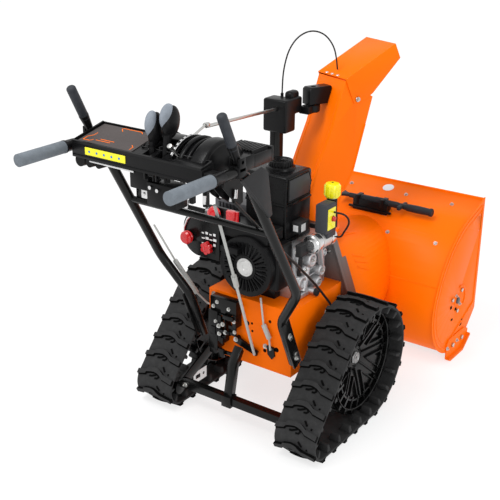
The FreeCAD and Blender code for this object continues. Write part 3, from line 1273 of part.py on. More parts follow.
def speed_lever():
    angle = math.radians(SPEED_ANGLE)
    run = Vector(0, math.cos(angle), math.sin(angle))
    hub = Vector(SPEED_X, SPEED_PIVOT_Y, SPEED_PIVOT_Z)
    eye = x_rod(SPEED_X - 5, SPEED_X + 5, SPEED_PIVOT_Y, SPEED_PIVOT_Z, SPEED_PIN_R + 4)
    lever = fuse([eye, rod(hub, hub + run * SPEED_REACH, SPEED_R),
                  rod(hub + run * (SPEED_REACH - 12), hub + run * SPEED_REACH, SPEED_R + 2.5)])
    return lever.cut(x_rod(SPEED_X - 9, SPEED_X + 9, SPEED_PIVOT_Y, SPEED_PIVOT_Z, SPEED_PIN_R + RUN_FIT))


SHIFT_X = 34.0          # lower end of the speed rod, in front of the frame's shift arm
SHIFT_BACK = 20.0
SHIFT_LOW_Z = 232.0
SHIFT_BEND_X = 30.0
SHIFT_BEND_Y = -250.0
SHIFT_BEND_Z = 500.0
SHIFT_TOP_X = 62.0
SHIFT_TOP_Y = -394.0
SHIFT_TOP_Z = 800.0
SHIFT_R = 4.5
SLEEVE_GROW = 4.0       # sleeve and ball stand out past the rod
SLEEVE_LENGTH = 40.0
SHIFT_LOW = Vector(SHIFT_X, FRAME_REAR_Y - SHIFT_BACK, SHIFT_LOW_Z)
SHIFT_BEND = Vector(SHIFT_BEND_X, SHIFT_BEND_Y, SHIFT_BEND_Z)
SHIFT_TOP = Vector(SHIFT_TOP_X, SHIFT_TOP_Y, SHIFT_TOP_Z)


def shift_rod():
    """The speed rod from below the console down to the frame's shift arm."""
    low = rod(SHIFT_LOW, SHIFT_BEND, SHIFT_R)
    high = rod(SHIFT_BEND, SHIFT_TOP, SHIFT_R)
    run = SHIFT_TOP - SHIFT_BEND
    run.normalize()
    start = SHIFT_BEND + run * SLEEVE_GROW
    sleeve = rod(start, start + run * SLEEVE_LENGTH, SHIFT_R + SLEEVE_GROW)
    ball = Part.makeSphere(SHIFT_R + SLEEVE_GROW, SHIFT_BEND)
    return fuse([low, ball, high, sleeve])


def shift_eye():
    """Guide eye that carries the speed rod on the tie bar."""
    run = SHIFT_TOP - SHIFT_BEND
    share = (TIE_Z - SHIFT_BEND.z) / run.z
    centre = SHIFT_BEND + run * share
    run.normalize()
    eye = rod(centre - run * 5, centre + run * 5, SHIFT_R + 5)
    strap = box(centre.x - 5, centre.x + 5, min(centre.y, tube_y_at(TIE_Z)), max(centre.y, tube_y_at(TIE_Z)),
                TIE_Z - 4, TIE_Z + 4)
    return fuse([eye, strap]).cut(rod(centre - run * 30, centre + run * 30, SHIFT_R + RUN_FIT))


SPRING_R = 8.0          # spring barrels
SPRING_ROD_R = 3.0
LEFT_ROD_X = HANDLE_HALF_W - 21.0
LEFT_ROD_TOP = (-319.0, 656.0)
LEFT_SPRING_TOP = (-226.0, 510.0)
LEFT_SPRING_LOW = (-150.0, 379.0)
LEFT_SPRING_LOW_X = 203.0
LEFT_HOOK = (-128.0, 340.0)
LEFT_HOOK_OUT = 18.0    # the rod's last turn stands out past the frame
REAR_ROD = [(50.0, 430.0), (62.0, 342.0), (84.0, 300.0), (88.0, 262.0)]
REAR_ROD_BACK = 12.0    # rod behind the frame's rear wall


def clutch_springs():
    """The two clutch rods with their spring barrels: left handlebar and frame back."""
    def assembly(points, barrel):
        pieces = []
        for a, b in zip(points[:-1], points[1:]):
            pieces.append(rod(a, b, SPRING_ROD_R))
        for point in points[1:-1]:
            pieces.append(Part.makeSphere(SPRING_ROD_R * 1.02, point))
        pieces.append(rod(points[barrel], points[barrel + 1], SPRING_R))
        return fuse(pieces)

    left = assembly([Vector(-LEFT_ROD_X, *LEFT_ROD_TOP), Vector(-LEFT_ROD_X, *LEFT_SPRING_TOP),
                     Vector(-LEFT_SPRING_LOW_X, *LEFT_SPRING_LOW),
                     Vector(-FRAME_HALF_W - LEFT_HOOK_OUT, *LEFT_HOOK), Vector(-FRAME_HALF_W, *LEFT_HOOK)], 1)
    back = FRAME_REAR_Y - REAR_ROD_BACK
    points = [Vector(x, back, z) for x, z in REAR_ROD]
    rear = assembly(points + [Vector(points[-1].x, FRAME_REAR_Y, points[-1].z)], 1)
    return [left, rear]


# ================================================================ chute
def placed_chute(shape):
    """From the chute's own frame (forward +Y, right +X, base at the origin) to its place."""
    shape.rotate(Vector(0, 0, 0), Z_AXIS, CHUTE_HEADING)
    shape.translate(Vector(CHUTE_X, CHUTE_Y, 0))
    return shape


CHUTE_LOW_Z = COLLAR_TOP_Z + RING_GAP
CHUTE_REAR = [(-12, 762), (28, 858), (75, 1013)]
CHUTE_FRONT = [(190, 950), (123, 699), (101, 655)]


def rounded_wire(half_w, rear, front, radius, z):
    """Rounded rectangle, started at the front middle, as four lines and four arcs."""
    turns = []
    centres = [(half_w - radius, front - radius, 45), (half_w - radius, rear + radius, -45),
               (-half_w + radius, rear + radius, -135), (-half_w + radius, front - radius, 135)]
    for cx, cy, middle in centres:
        first = math.radians(middle + 45)
        centre_angle = math.radians(middle)
        last = math.radians(middle - 45)
        turns.append([Vector(cx + radius * math.cos(a), cy + radius * math.sin(a), z)
                      for a in (first, centre_angle, last)])
    edges = []
    for index, points in enumerate(turns):
        following = turns[(index + 1) % 4]
        edges.append(Part.Arc(*points).toShape())
        edges.append(Part.LineSegment(points[2], following[0]).toShape())
    return Part.Wire(edges)


def neck_block(shrink, low_z, high_z):
    """The neck's solid: nearly round at the ring, boxy where the chute begins."""
    low = rounded_wire(COLLAR_R - shrink, -COLLAR_R + shrink, COLLAR_R - shrink, COLLAR_R - shrink - 4, low_z)
    high = rounded_wire(CHUTE_HALF_W - shrink, CHUTE_NECK_REAR + shrink, CHUTE_NECK_FRONT - shrink,
                        18 - shrink, high_z)
    return Part.makeLoft([low, high], True, True)


def chute():
    """Chute: toothed ring, neck, back and two sides, with a hinge stud on each side."""
    ring = pipe(Vector(0, 0, CHUTE_LOW_Z), Vector(0, 0, CHUTE_LOW_Z + RING_HEIGHT),
                COLLAR_R + COLLAR_FLANGE + 4, COLLAR_R - SHEET)
    low_z = CHUTE_LOW_Z + RING_HEIGHT - 1
    neck = neck_block(0, low_z, CHUTE_NECK_Z).cut(neck_block(CHUTE_SHEET, low_z, CHUTE_NECK_Z))
    rear = [(CHUTE_NECK_REAR, CHUTE_NECK_Z - 1)] + CHUTE_REAR
    side_points = rear + CHUTE_FRONT + [(CHUTE_NECK_FRONT, CHUTE_NECK_Z - 1)]
    side = plate_x(side_points, CHUTE_HALF_W - CHUTE_SHEET, CHUTE_HALF_W)
    inner = [(u + CHUTE_SHEET, z) for u, z in reversed(rear)]
    back = plate_x(rear + inner, -CHUTE_HALF_W, CHUTE_HALF_W)
    shell = fuse([ring, neck, side, mirrored(side), back])
    stud = x_rod(CHUTE_HALF_W - 1, CHUTE_HALF_W + DEFLECTOR_GAP + CHUTE_SHEET + 3, HINGE_U, HINGE_Z, HINGE_R)
    return placed_chute(fuse([shell, stud, mirrored(stud)]))


def chute_bracket():
    """Dark bracket on the chute's back, with the eye that turns on the gearbox's pin."""
    low = BOX_NOTCH_Z + ARM_HEIGHT + 1
    high = BOX_TOP_Z + ARM_HEIGHT
    eye = z_rod(0, 0, low, high, CHUTE_PIN_R + 7)
    web = plate_x([(0, low), (chute_rear_u(low), low), (chute_rear_u(high), high), (0, high)], -12, 12)
    bore = z_rod(0, 0, low - 1, high + 1, CHUTE_PIN_R + RUN_FIT)
    return placed_chute(fuse([eye, web]).cut(bore))


def chute_rear_u(z):
    """The chute back's outer face at a height."""
    rear = [(CHUTE_NECK_REAR, CHUTE_NECK_Z)] + CHUTE_REAR
    for (u0, z0), (u1, z1) in zip(rear[:-1], rear[1:]):
        if z0 <= z <= z1:
            return u0 + (z - z0) / (z1 - z0) * (u1 - u0)
    return rear[-1][0]


def deflector():
    """Hinged cap: a sloping top and two cheeks outside the chute's sides."""
    rise = math.radians(DEFLECTOR_RISE)
    rear = (DEFLECTOR_REAR_U, DEFLECTOR_REAR_Z)
    front = (rear[0] + DEFLECTOR_LENGTH * math.cos(rise), rear[1] + DEFLECTOR_LENGTH * math.sin(rise))
    drop = (math.sin(rise), -math.cos(rise))
    lip = (front[0] + DEFLECTOR_LIP * drop[0], front[1] + DEFLECTOR_LIP * drop[1])
    inner = CHUTE_HALF_W + DEFLECTOR_GAP
    outer = inner + CHUTE_SHEET
    top = plate_x([rear, front,
                   (front[0] + CHUTE_SHEET * drop[0], front[1] + CHUTE_SHEET * drop[1]),
                   (rear[0] + CHUTE_SHEET * drop[0], rear[1] + CHUTE_SHEET * drop[1])], -outer, outer)
    cheek = plate_x([rear, front, lip, (HINGE_U + 63, HINGE_Z + 13), (HINGE_U + 14, HINGE_Z - 14),
                     (HINGE_U - 14, HINGE_Z - 12), (HINGE_U - 36, HINGE_Z + 36)], inner, outer)
    cheek = cheek.cut(x_rod(inner - 1, outer + 1, HINGE_U, HINGE_Z, HINGE_R + RUN_FIT))
    return placed_chute(fuse([top, cheek, mirrored(cheek)]))


# ================================================================ chute control
def gearbox_cover():
    outer = box(BOX_LEFT, BOX_RIGHT, BOX_REAR_Y, BOX_FRONT_Y, BOX_LOW_Z, BOX_TOP_Z)
    notch = box(BOX_LEFT - 1, BOX_RIGHT + 1, BOX_NOTCH_Y, BOX_FRONT_Y + 1, BOX_LOW_Z - 1, BOX_NOTCH_Z)
    corner = box(BOX_LEFT - 1, BOX_RIGHT - BOX_NOSE_WIDTH, BOX_NOTCH_Y, BOX_FRONT_Y + 1,
                 BOX_LOW_Z - 1, BOX_TOP_Z + 1)
    outer = outer.cut(notch).cut(corner)
    inner = box(BOX_LEFT + BOX_WALL, BOX_RIGHT - BOX_WALL, BOX_REAR_Y + BOX_WALL, BOX_NOTCH_Y - BOX_WALL,
                BOX_LOW_Z - 1, BOX_TOP_Z - BOX_WALL)
    shell = outer.cut(inner)
    arm = box(CHUTE_X - ARM_REACH, CHUTE_X + ARM_ROOM, BOX_FRONT_Y - 1, CHUTE_Y + ARM_ROOM,
              BOX_NOTCH_Z, BOX_NOTCH_Z + ARM_HEIGHT)
    pin = z_rod(CHUTE_X, CHUTE_Y, BOX_NOTCH_Z + ARM_HEIGHT - 1, BOX_TOP_Z + ARM_HEIGHT, CHUTE_PIN_R)
    cover = fuse([shell, arm, pin])
    run = ROD_REAR - ROD_FRONT
    run.normalize()
    return cover.cut(rod(ROD_FRONT - run * 20, ROD_FRONT + run * 20, ROD_R + RUN_FIT))


def gearbox_post():
    """Square post with its foot on the drum's back and the gear block at the top."""
    right = POST_LEFT + POST_WIDTH
    front = POST_REAR_Y + POST_DEPTH
    post = box(POST_LEFT, right, POST_REAR_Y, front, POST_LOW_Z, BOX_TOP_Z - BOX_WALL - SEAT_GAP)
    foot = box(POST_LEFT, right, front - 1, DRUM_REAR_Y, POST_LOW_Z, POST_LOW_Z + 70)
    run = ROD_REAR - ROD_FRONT
    run.normalize()
    return fuse([post, foot]).cut(rod(ROD_FRONT - run * 30, ROD_FRONT + run * 30, ROD_R + 4))


def chute_rod():
    return rod(ROD_FRONT, ROD_REAR, ROD_R)


# ================================================================ cleaning tool
TOOL_Y = 613.0
TOOL_Z = 527.0
TOOL_R = 10.0
TOOL_LEFT = -125.0
TOOL_RIGHT = 250.0
TOOL_GUARD_X = 130.0
TOOL_GUARD_HALF = 34.0
TOOL_HANDLE = 92.0
TOOL_BLADE = 26.0
TOOL_BLADE_HALF = 32.0
TOOL_NECK = 54.0        # the blade and its flat neck
CLIP_LEFT = -60.0
CLIP_RIGHT = 78.0


def tool_clip():
    """Plastic holder on the housing, open at the top."""
    half = TOOL_R + 7
    block = box(CLIP_LEFT, CLIP_RIGHT, TOOL_Y - half, TOOL_Y + half, TOOL_Z - 5 * TOOL_R, TOOL_Z - 2)
    channel = x_rod(CLIP_LEFT - 1, CLIP_RIGHT + 1, TOOL_Y, TOOL_Z, TOOL_R + SEAT_GAP)
    return block.cut(channel).cut(wrap_block(0.05, HOUSE_HALF_W))


def clean_out_tool():
    shaft = x_rod(TOOL_LEFT + TOOL_NECK - 4, TOOL_RIGHT - TOOL_HANDLE + 2, TOOL_Y, TOOL_Z, TOOL_R)
    handle = x_rod(TOOL_RIGHT - TOOL_HANDLE, TOOL_RIGHT, TOOL_Y, TOOL_Z, TOOL_R + 3)
    guard = box(TOOL_GUARD_X - 7, TOOL_GUARD_X + 7, TOOL_Y - TOOL_GUARD_HALF, TOOL_Y + TOOL_GUARD_HALF,
                TOOL_Z - 6, TOOL_Z + 6)
    neck = box(TOOL_LEFT + TOOL_BLADE - 6, TOOL_LEFT + TOOL_NECK, TOOL_Y - 12, TOOL_Y + 12,
               TOOL_Z - 5, TOOL_Z + 5)
    blade = box(TOOL_LEFT, TOOL_LEFT + TOOL_BLADE, TOOL_Y - TOOL_BLADE_HALF, TOOL_Y + TOOL_BLADE_HALF,
                TOOL_Z - 4, TOOL_Z + 4)
    return fuse([shaft, handle, guard, neck, blade])


# ================================================================ cables
STEER_R = 4.0
STEER_POINTS = [
    Vector(204, -499, 868), Vector(196, -410, 792), Vector(194, -328, 718), Vector(192, -245, 644),
    Vector(193, -165, 572), Vector(191, -85, 500), Vector(188, -12, 428), Vector(185, 47, 366),
    Vector(180, 84, 312), Vector(174, 96, 276), Vector(FRAME_HALF_W, 96, 276),
]
DEFLECTOR_CABLE_R = 2.5
DEFLECTOR_CABLE_POINTS = [
    Vector(-125, 208, BOX_TOP_Z), Vector(-125, 208, 1015), Vector(-122, 214, 1066), Vector(-114, 228, 1116),
    Vector(-97, 254, 1154), Vector(-73, 292, 1170), Vector(-48, 332, 1156), Vector(-32, 362, 1118),
    Vector(-26, 376, 1076), Vector(-24, 381, 1036),
]
STARTER_CORD_R = 3.0
STARTER_CORD_POINTS = [
    Vector(SWITCH_RIGHT, 58, 674), Vector(188, 58, 674), Vector(204, 66, 671), Vector(213, 77, 658),
    Vector(213, 86, 640), Vector(205, 90, 622), Vector(194, 90, 604), Vector(183, 90, STARTER_Z),
    Vector(STARTER_X + STARTER_R, 90, STARTER_Z),
]


# ================================================================ fasteners
FOOT_BOLTS = ((-164.0, 285.0), (-196.0, 352.0))    # handlebar feet, as y and z
BEARING_BOLT_R = 44.0


def fasteners():
    """Bolt heads: handlebar feet, belt cover, bearings, housing sides, skids and top."""
    heads = []
    tube_side = TUBE_FOOT_X + TUBE_R
    for y, z in FOOT_BOLTS:
        for sign in (-1, 1):
            heads.append(hex_head(Vector(sign * tube_side, y, z), Vector(sign, 0, 0), 15, 7))
    for x, z in ((COVER_WIDE_X - 14, COVER_STEP_Z + 10), (COVER_TOP_HALF - 4, COVER_TOP_Z - 20)):
        heads.append(hex_head(Vector(x, COVER_REAR_Y, z), Vector(0, -1, 0), 12, 6))
    for sign in (-1, 1):
        for turn in (40, 160, 280):
            y, z = around(AUGER_Y, AUGER_Z, BEARING_BOLT_R, turn)
            heads.append(hex_head(Vector(sign * HOUSE_HALF_W, y, z), Vector(sign, 0, 0), 13, 6))
        face = sign * (HOUSE_HALF_W + SKID_PLATE)
        for y in (SKID_REAR_Y + 44, SKID_REAR_Y + 122):
            heads.append(hex_head(Vector(face, y, SKID_HEIGHT * 0.62), Vector(sign, 0, 0), 15, 7))
    return heads


# ================================================================ parts
def node(name, shapes):
    """Write one node: a single shape, or a list of separate solids."""
    if not isinstance(shapes, list):
        shapes = [shapes]
    solids = []
    for shape in shapes:
        solids.extend(shape.Solids)
    result = solids[0] if len(solids) == 1 else Part.makeCompound(solids)
    if not result.isValid():
        print("not valid:", name)
    result.exportStep("parts/" + name + ".step")


def build():
    os.makedirs("parts", exist_ok=True)
    right_wheel = drive_wheel()
    right_rear_wheel = rear_wheel()
    right_track = track_belt()
    right_side = housing_side()
    right_skid = skid_shoe()
    right_flights = auger_side()
    right_lever = clutch_lever()
    right_grip = grip()
    node("auger_housing", auger_housing())
    node("housing_sides", [right_side, mirrored(right_side)])
    node("impeller_drum", impeller_drum())
    node("scraper_bar", scraper_bar())
    node("skid_shoes", [right_skid, mirrored(right_skid)])
    node("fasteners", fasteners() + [tool_clip()])
    node("chute_base", chute_base())
    node("clean_out_tool", clean_out_tool())
    node("auger_flights", [right_flights, mirrored(right_flights)])
    node("auger_shaft", auger_shaft())
    node("gear_case", gear_case())
    node("impeller", impeller())
    node("drive_belt", drive_belt())
    node("crankshaft", crankshaft())
    node("belt_cover", belt_cover())
    node("frame_box", [frame_box()] + shift_bracket())
    node("track_right", right_track)
    left_track = right_track.copy()
    left_track.translate(X_AXIS * (-2 * TRACK_MID_X))
    node("track_left", left_track)
    node("track_frame", track_carriage())
    node("axle", axle())
    node("drive_wheel_right", right_wheel)
    node("drive_wheel_left", mirrored(right_wheel))
    node("rear_wheel_right", right_rear_wheel)
    node("rear_wheel_left", mirrored(right_rear_wheel))
    node("crankcase", crankcase())
    node("engine_cowl", engine_cowl())
    node("recoil_cover", recoil_cover())
    node("recoil_handle", recoil_handle())
    node("fuel_tank", fuel_tank())
    node("fuel_cap", fuel_cap())
    node("muffler", muffler())
    node("starter_motor", starter_motor())
    node("starter_button", starter_button())
    node("oil_cap", oil_cap())
    node("control_panel", control_panel())
    node("choke_knob", panel_knob(CHOKE, 22, 13, 4))
    node("throttle_knob", panel_knob(THROTTLE, 17, 14, 3))
    node("primer_bulb", panel_knob(PRIMER, 13, 12, 5))
    node("ignition_key", key())
    node("handlebars", handlebars())
    node("dash_panel", dash_panel())
    node("speed_console", speed_console())
    node("grips", [right_grip, mirrored(right_grip)])
    node("clutch_lever_right", right_lever)
    node("clutch_lever_left", mirrored(right_lever))
    node("chute_lever", stick(CHUTE_STICK_X, CHUTE_STICK_LENGTH, CHUTE_STICK_LEAN))
    node("deflector_lever", stick(DEFLECTOR_STICK_X, DEFLECTOR_STICK_LENGTH, DEFLECTOR_STICK_LEAN))
    node("speed_lever", speed_lever())
    node("headlight", headlight())
    node("side_cover", side_cover())
    node("chute", [chute(), chute_bracket()])
    node("deflector", deflector())
    node("gearbox_cover", gearbox_cover())
    node("gearbox_post", gearbox_post())
    node("chute_rod", chute_rod())
    node("shift_rod", shift_rod())
    node("clutch_springs", clutch_springs())
    node("steer_cable", cord_tube("steer_cable", STEER_POINTS, STEER_R))
    node("deflector_cable", cord_tube("deflector_cable", DEFLECTOR_CABLE_POINTS, DEFLECTOR_CABLE_R))
    node("starter_cord", cord_tube("starter_cord", STARTER_CORD_POINTS, STARTER_CORD_R))


build()
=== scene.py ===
# %% [markdown]
# # A snow blower on rubber tracks
# The machine has been built in CAD already, with real sizes and joints. Here the same parts get
# their looks: paint, rubber, moulded plastic and the small shapes that a drawing leaves out.
# +X is the operator's right, +Y is the travel direction, +Z is up, and the frame is in metres.

# %% Load the machine
import math

import bpy
from mathutils import Matrix, Vector


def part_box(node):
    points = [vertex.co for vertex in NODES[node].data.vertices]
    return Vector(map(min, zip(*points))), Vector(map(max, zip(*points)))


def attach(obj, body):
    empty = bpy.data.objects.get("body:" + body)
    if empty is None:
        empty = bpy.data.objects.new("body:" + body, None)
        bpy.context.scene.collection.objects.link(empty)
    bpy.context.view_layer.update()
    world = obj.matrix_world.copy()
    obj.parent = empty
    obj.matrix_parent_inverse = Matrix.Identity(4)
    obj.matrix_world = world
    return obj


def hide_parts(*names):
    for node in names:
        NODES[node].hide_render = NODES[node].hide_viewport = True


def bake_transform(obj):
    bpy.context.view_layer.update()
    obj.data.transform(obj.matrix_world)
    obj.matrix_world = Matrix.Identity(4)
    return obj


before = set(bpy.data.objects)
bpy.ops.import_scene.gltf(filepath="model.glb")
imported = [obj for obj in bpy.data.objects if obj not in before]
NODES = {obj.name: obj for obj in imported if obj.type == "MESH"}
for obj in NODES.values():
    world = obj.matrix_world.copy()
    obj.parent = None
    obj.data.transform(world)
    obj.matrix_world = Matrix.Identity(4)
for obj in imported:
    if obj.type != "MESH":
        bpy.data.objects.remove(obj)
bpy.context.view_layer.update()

# %% [markdown]
# ## Tools for the modelling
# Most steps in Blender are operators, and an operator acts on whatever is selected. So each helper
# first clears the selection, adds one primitive at its size and place, and applies its transforms,
# which leaves the object at the origin with its place in its mesh. As on a drawing, every helper
# takes millimetres, and only the helpers turn them into metres.

# %% Units
MM = 0.001
X = Vector((1, 0, 0))
Y = Vector((0, 1, 0))
Z = Vector((0, 0, 1))


def metres(place):
    return Vector(place) * MM


def cad_box(node):
    """The lowest and highest corner of a CAD part, in millimetres."""
    return [Vector(corner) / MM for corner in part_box(node)]


print("highest corner of the housing", [round(c) for c in cad_box("auger_housing")[1]])


# %% Selection
def clear():
    """Object mode, nothing selected."""
    active = bpy.context.view_layer.objects.active
    if active and active.mode != "OBJECT":
        bpy.ops.object.mode_set(mode="OBJECT")
    bpy.ops.object.select_all(action="DESELECT")


def pick(obj):
    clear()
    obj.select_set(True)
    bpy.context.view_layer.objects.active = obj
    return obj


def settle(obj):
    """Move the object's place into its mesh."""
    pick(obj)
    bpy.ops.object.transform_apply(location=True, rotation=True, scale=True)
    return obj


def shaped(obj, *steps):
    """Run edit mode steps on the whole mesh, then point its faces outwards."""
    pick(obj)
    bpy.ops.object.mode_set(mode="EDIT")
    for step in (*steps, lambda: bpy.ops.mesh.normals_make_consistent(inside=False)):
        bpy.ops.mesh.select_all(action="SELECT")
        step()
    bpy.ops.object.mode_set(mode="OBJECT")
    return obj


# %% [markdown]
# Solid pieces start from the primitive that is nearest to them: a cube for a block, a cone for a
# bar, a sphere for a knob. Each is given its place and its size when it is added.

# %% Solid primitives
def block(low, high):
    """A box from its lowest to its highest corner."""
    clear()
    low, high = metres(low), metres(high)
    bpy.ops.mesh.primitive_cube_add(size=1, location=(low + high) / 2)
    bpy.context.object.scale = high - low
    return settle(bpy.context.object)


def tapered(start, end, radius, end_radius, sides=32):
    """A cone from start to end."""
    clear()
    start, end = metres(start), metres(end)
    run = end - start
    turn = run.to_track_quat("Z", "Y")
    bpy.ops.mesh.primitive_cone_add(vertices=sides, radius1=radius * MM, radius2=end_radius * MM,
                                    depth=run.length, location=(start + end) / 2, rotation=turn.to_euler())
    return settle(bpy.context.object)


def round_bar(start, end, radius, sides=32):
    return tapered(start, end, radius, radius, sides)


def ball(centre, radii, segments=32):
    clear()
    bpy.ops.mesh.primitive_uv_sphere_add(segments=segments, ring_count=segments // 2, radius=1,
                                         location=metres(centre))
    bpy.context.object.scale = metres(radii)
    return settle(bpy.context.object)


def ring(centre, axis, radius, thick, sides=48):
    """A torus about an axis."""
    clear()
    turn = Vector(axis).to_track_quat("Z", "Y")
    bpy.ops.mesh.primitive_torus_add(major_radius=radius * MM, minor_radius=thick * MM, major_segments=sides,
                                     minor_segments=10, location=metres(centre), rotation=turn.to_euler())
    return settle(bpy.context.object)


# %% [markdown]
# Most parts of a machine are a flat outline with a thickness, or a profile turned about an axis.
# Both start from a circle whose points are moved, because its edges are already in order. A
# boolean of boxes could give the plates too, but an outline is shorter to write down.

# %% Outlines and profiles
def extruded(outline, low, high, axis="X"):
    """A flat outline pulled into a plate. Outline points are (y, z) for X, (x, z) for Y, (x, y) for Z."""
    clear()
    bpy.ops.mesh.primitive_circle_add(vertices=len(outline), radius=1, fill_type="NGON")
    obj = bpy.context.object
    for vertex, (a, b) in zip(obj.data.vertices, outline):
        vertex.co = metres({"X": (low, a, b), "Y": (a, low, b), "Z": (a, b, low)}[axis])
    step = {"X": X, "Y": Y, "Z": Z}[axis] * (high - low) * MM
    return shaped(obj, lambda: bpy.ops.mesh.extrude_region_move(TRANSFORM_OT_translate={"value": step}))


def lathed(profile, centre, axis, steps=48):
    """A profile of (radius, distance along the axis) turned about the axis."""
    clear()
    bpy.ops.mesh.primitive_circle_add(vertices=len(profile), radius=1, fill_type="NOTHING")
    obj = bpy.context.object
    for vertex, (radius, along) in zip(obj.data.vertices, profile):
        vertex.co = metres((radius, 0, along))
    shaped(obj, lambda: bpy.ops.mesh.spin(steps=steps, angle=2 * math.pi, center=(0, 0, 0), axis=(0, 0, 1)),
           lambda: bpy.ops.mesh.remove_doubles(threshold=1e-6))
    turn = Vector(axis).to_track_quat("Z", "Y").to_matrix().to_4x4()
    obj.data.transform(Matrix.Translation(metres(centre)) @ turn)
    return obj


# %% [markdown]
# Edges are rounded and holes are cut by modifiers. They are applied at once, so that the pieces
# can be joined. What is there twice is mirrored, and what goes round an axis is modelled once.

# %% Modifiers
def modify(obj, kind, **settings):
    """Add a modifier and apply it."""
    pick(obj)
    modifier = obj.modifiers.new(kind.title(), kind)
    for key, value in settings.items():
        setattr(modifier, key, value)
    bpy.ops.object.modifier_apply(modifier=modifier.name)
    return obj


def soften(obj, width, segments=2, angle=35):
    """Round off the sharp edges."""
    return modify(obj, "BEVEL", width=width * MM, segments=segments, limit_method="ANGLE",
                  angle_limit=math.radians(angle))


def pad(low, high, width, segments=2):
    """A block with round edges."""
    return soften(block(low, high), width, segments)


def subtract(obj, *tools):
    """Cut the tools out of the object and remove them."""
    for tool in tools:
        modify(obj, "BOOLEAN", operation="DIFFERENCE", object=tool, solver="EXACT")
        bpy.data.objects.remove(tool)
    return obj


# %% Joins and copies
def join(parts):
    """One object from several, which keeps each face's material."""
    clear()
    for part in parts:
        part.select_set(True)
    bpy.context.view_layer.objects.active = parts[0]
    if len(parts) > 1:
        bpy.ops.object.join()
    return bpy.context.view_layer.objects.active


def copied(obj, matrix):
    """A copy with its own mesh, moved by a matrix."""
    twin = obj.copy()
    twin.data = obj.data.copy()
    twin.data.transform(matrix)
    bpy.context.scene.collection.objects.link(twin)
    if matrix.determinant() < 0:
        twin.data.flip_normals()
    return twin


def shifted(obj, by):
    return copied(obj, Matrix.Translation(metres(by)))


def mirrored(obj):
    return copied(obj, Matrix.Scale(-1, 4, X))


def turned(obj, angle, axis, centre):
    """Turn an object's mesh about a line, in degrees."""
    centre = metres(centre)
    obj.data.transform(Matrix.Translation(centre) @ Matrix.Rotation(math.radians(angle), 4, axis)
                       @ Matrix.Translation(-centre))
    return obj


def all_round(obj, count, axis, centre, first=0.0):
    """Evenly turned copies of a model, which is then removed."""
    copies = [turned(copied(obj, Matrix()), first + 360 * index / count, axis, centre) for index in range(count)]
    bpy.data.objects.remove(obj)
    return copies


# %% [markdown]
# Ridges, rims and treads follow a line on a surface that is sloping or round. It is easier to draw
# them flat and let a function carry every point onto the surface than to model them in place.

# %% Sheets that are laid on a surface
def mapped(obj, place):
    """Move every vertex to where a function of its coordinates says."""
    for vertex in obj.data.vertices:
        vertex.co = metres(place(*(vertex.co / MM)))
    return shaped(obj)


def on_plane(origin, along, across):
    """From a flat sheet to a plane in space; its outside is along x across."""
    origin, along, across = Vector(origin), Vector(along).normalized(), Vector(across).normalized()
    out = along.cross(across)
    return lambda a, b, h: origin + along * a + across * b + out * h


def bar_along(line, width, low, high, bevel=0.0, square=False):
    """A bar on a flat sheet along a line of (x, y); its width lies across the line, or squarely along y."""
    clear()
    bpy.ops.mesh.primitive_grid_add(x_subdivisions=len(line) - 1, y_subdivisions=1, size=1)
    obj = bpy.context.object
    count = len(line)
    for index, (x, y) in enumerate(line):
        before = Vector(line[max(index - 1, 0)])
        after = Vector(line[min(index + 1, count - 1)])
        side = Vector((0, 1)) if square else Vector((before.y - after.y, after.x - before.x)).normalized()
        for row, share in ((0, -0.5), (1, 0.5)):
            place = (x + side.x * share * width, y + side.y * share * width, low)
            obj.data.vertices[row * count + index].co = metres(place)
    lift = Z * (high - low) * MM
    shaped(obj, lambda: bpy.ops.mesh.extrude_region_move(TRANSFORM_OT_translate={"value": lift}))
    return soften(obj, bevel, 1) if bevel else obj


def arc(centre_a, centre_b, radius, first, last, steps=16):
    turns = [math.radians(first + (last - first) * step / steps) for step in range(steps + 1)]
    return [(centre_a + radius * math.cos(turn), centre_b + radius * math.sin(turn)) for turn in turns]


print("a quarter circle", len(arc(0, 0, 10, 0, 90)), "points")

# %% [markdown]
# ## Tools for the materials
# A material is a tree of nodes. Written as Python, a sum such as `0.3 + 0.1 * grain` is easier to
# read than the nodes it stands for, so a small class overloads the signs and adds the Math nodes.

# %% Shader sums
class Value:
    """One output in a material's tree."""

    def __init__(self, finish, socket):
        self.finish = finish
        self.socket = socket

    def math(self, operation, first, second):
        return self.finish.node("ShaderNodeMath", {"operation": operation}, {0: first, 1: second})

    def __add__(self, other):
        return self.math("ADD", self, other)

    def __sub__(self, other):
        return self.math("SUBTRACT", self, other)

    def __rsub__(self, other):
        return self.math("SUBTRACT", other, self)

    def __mul__(self, other):
        return self.math("MULTIPLY", self, other)

    __radd__ = __add__
    __rmul__ = __mul__


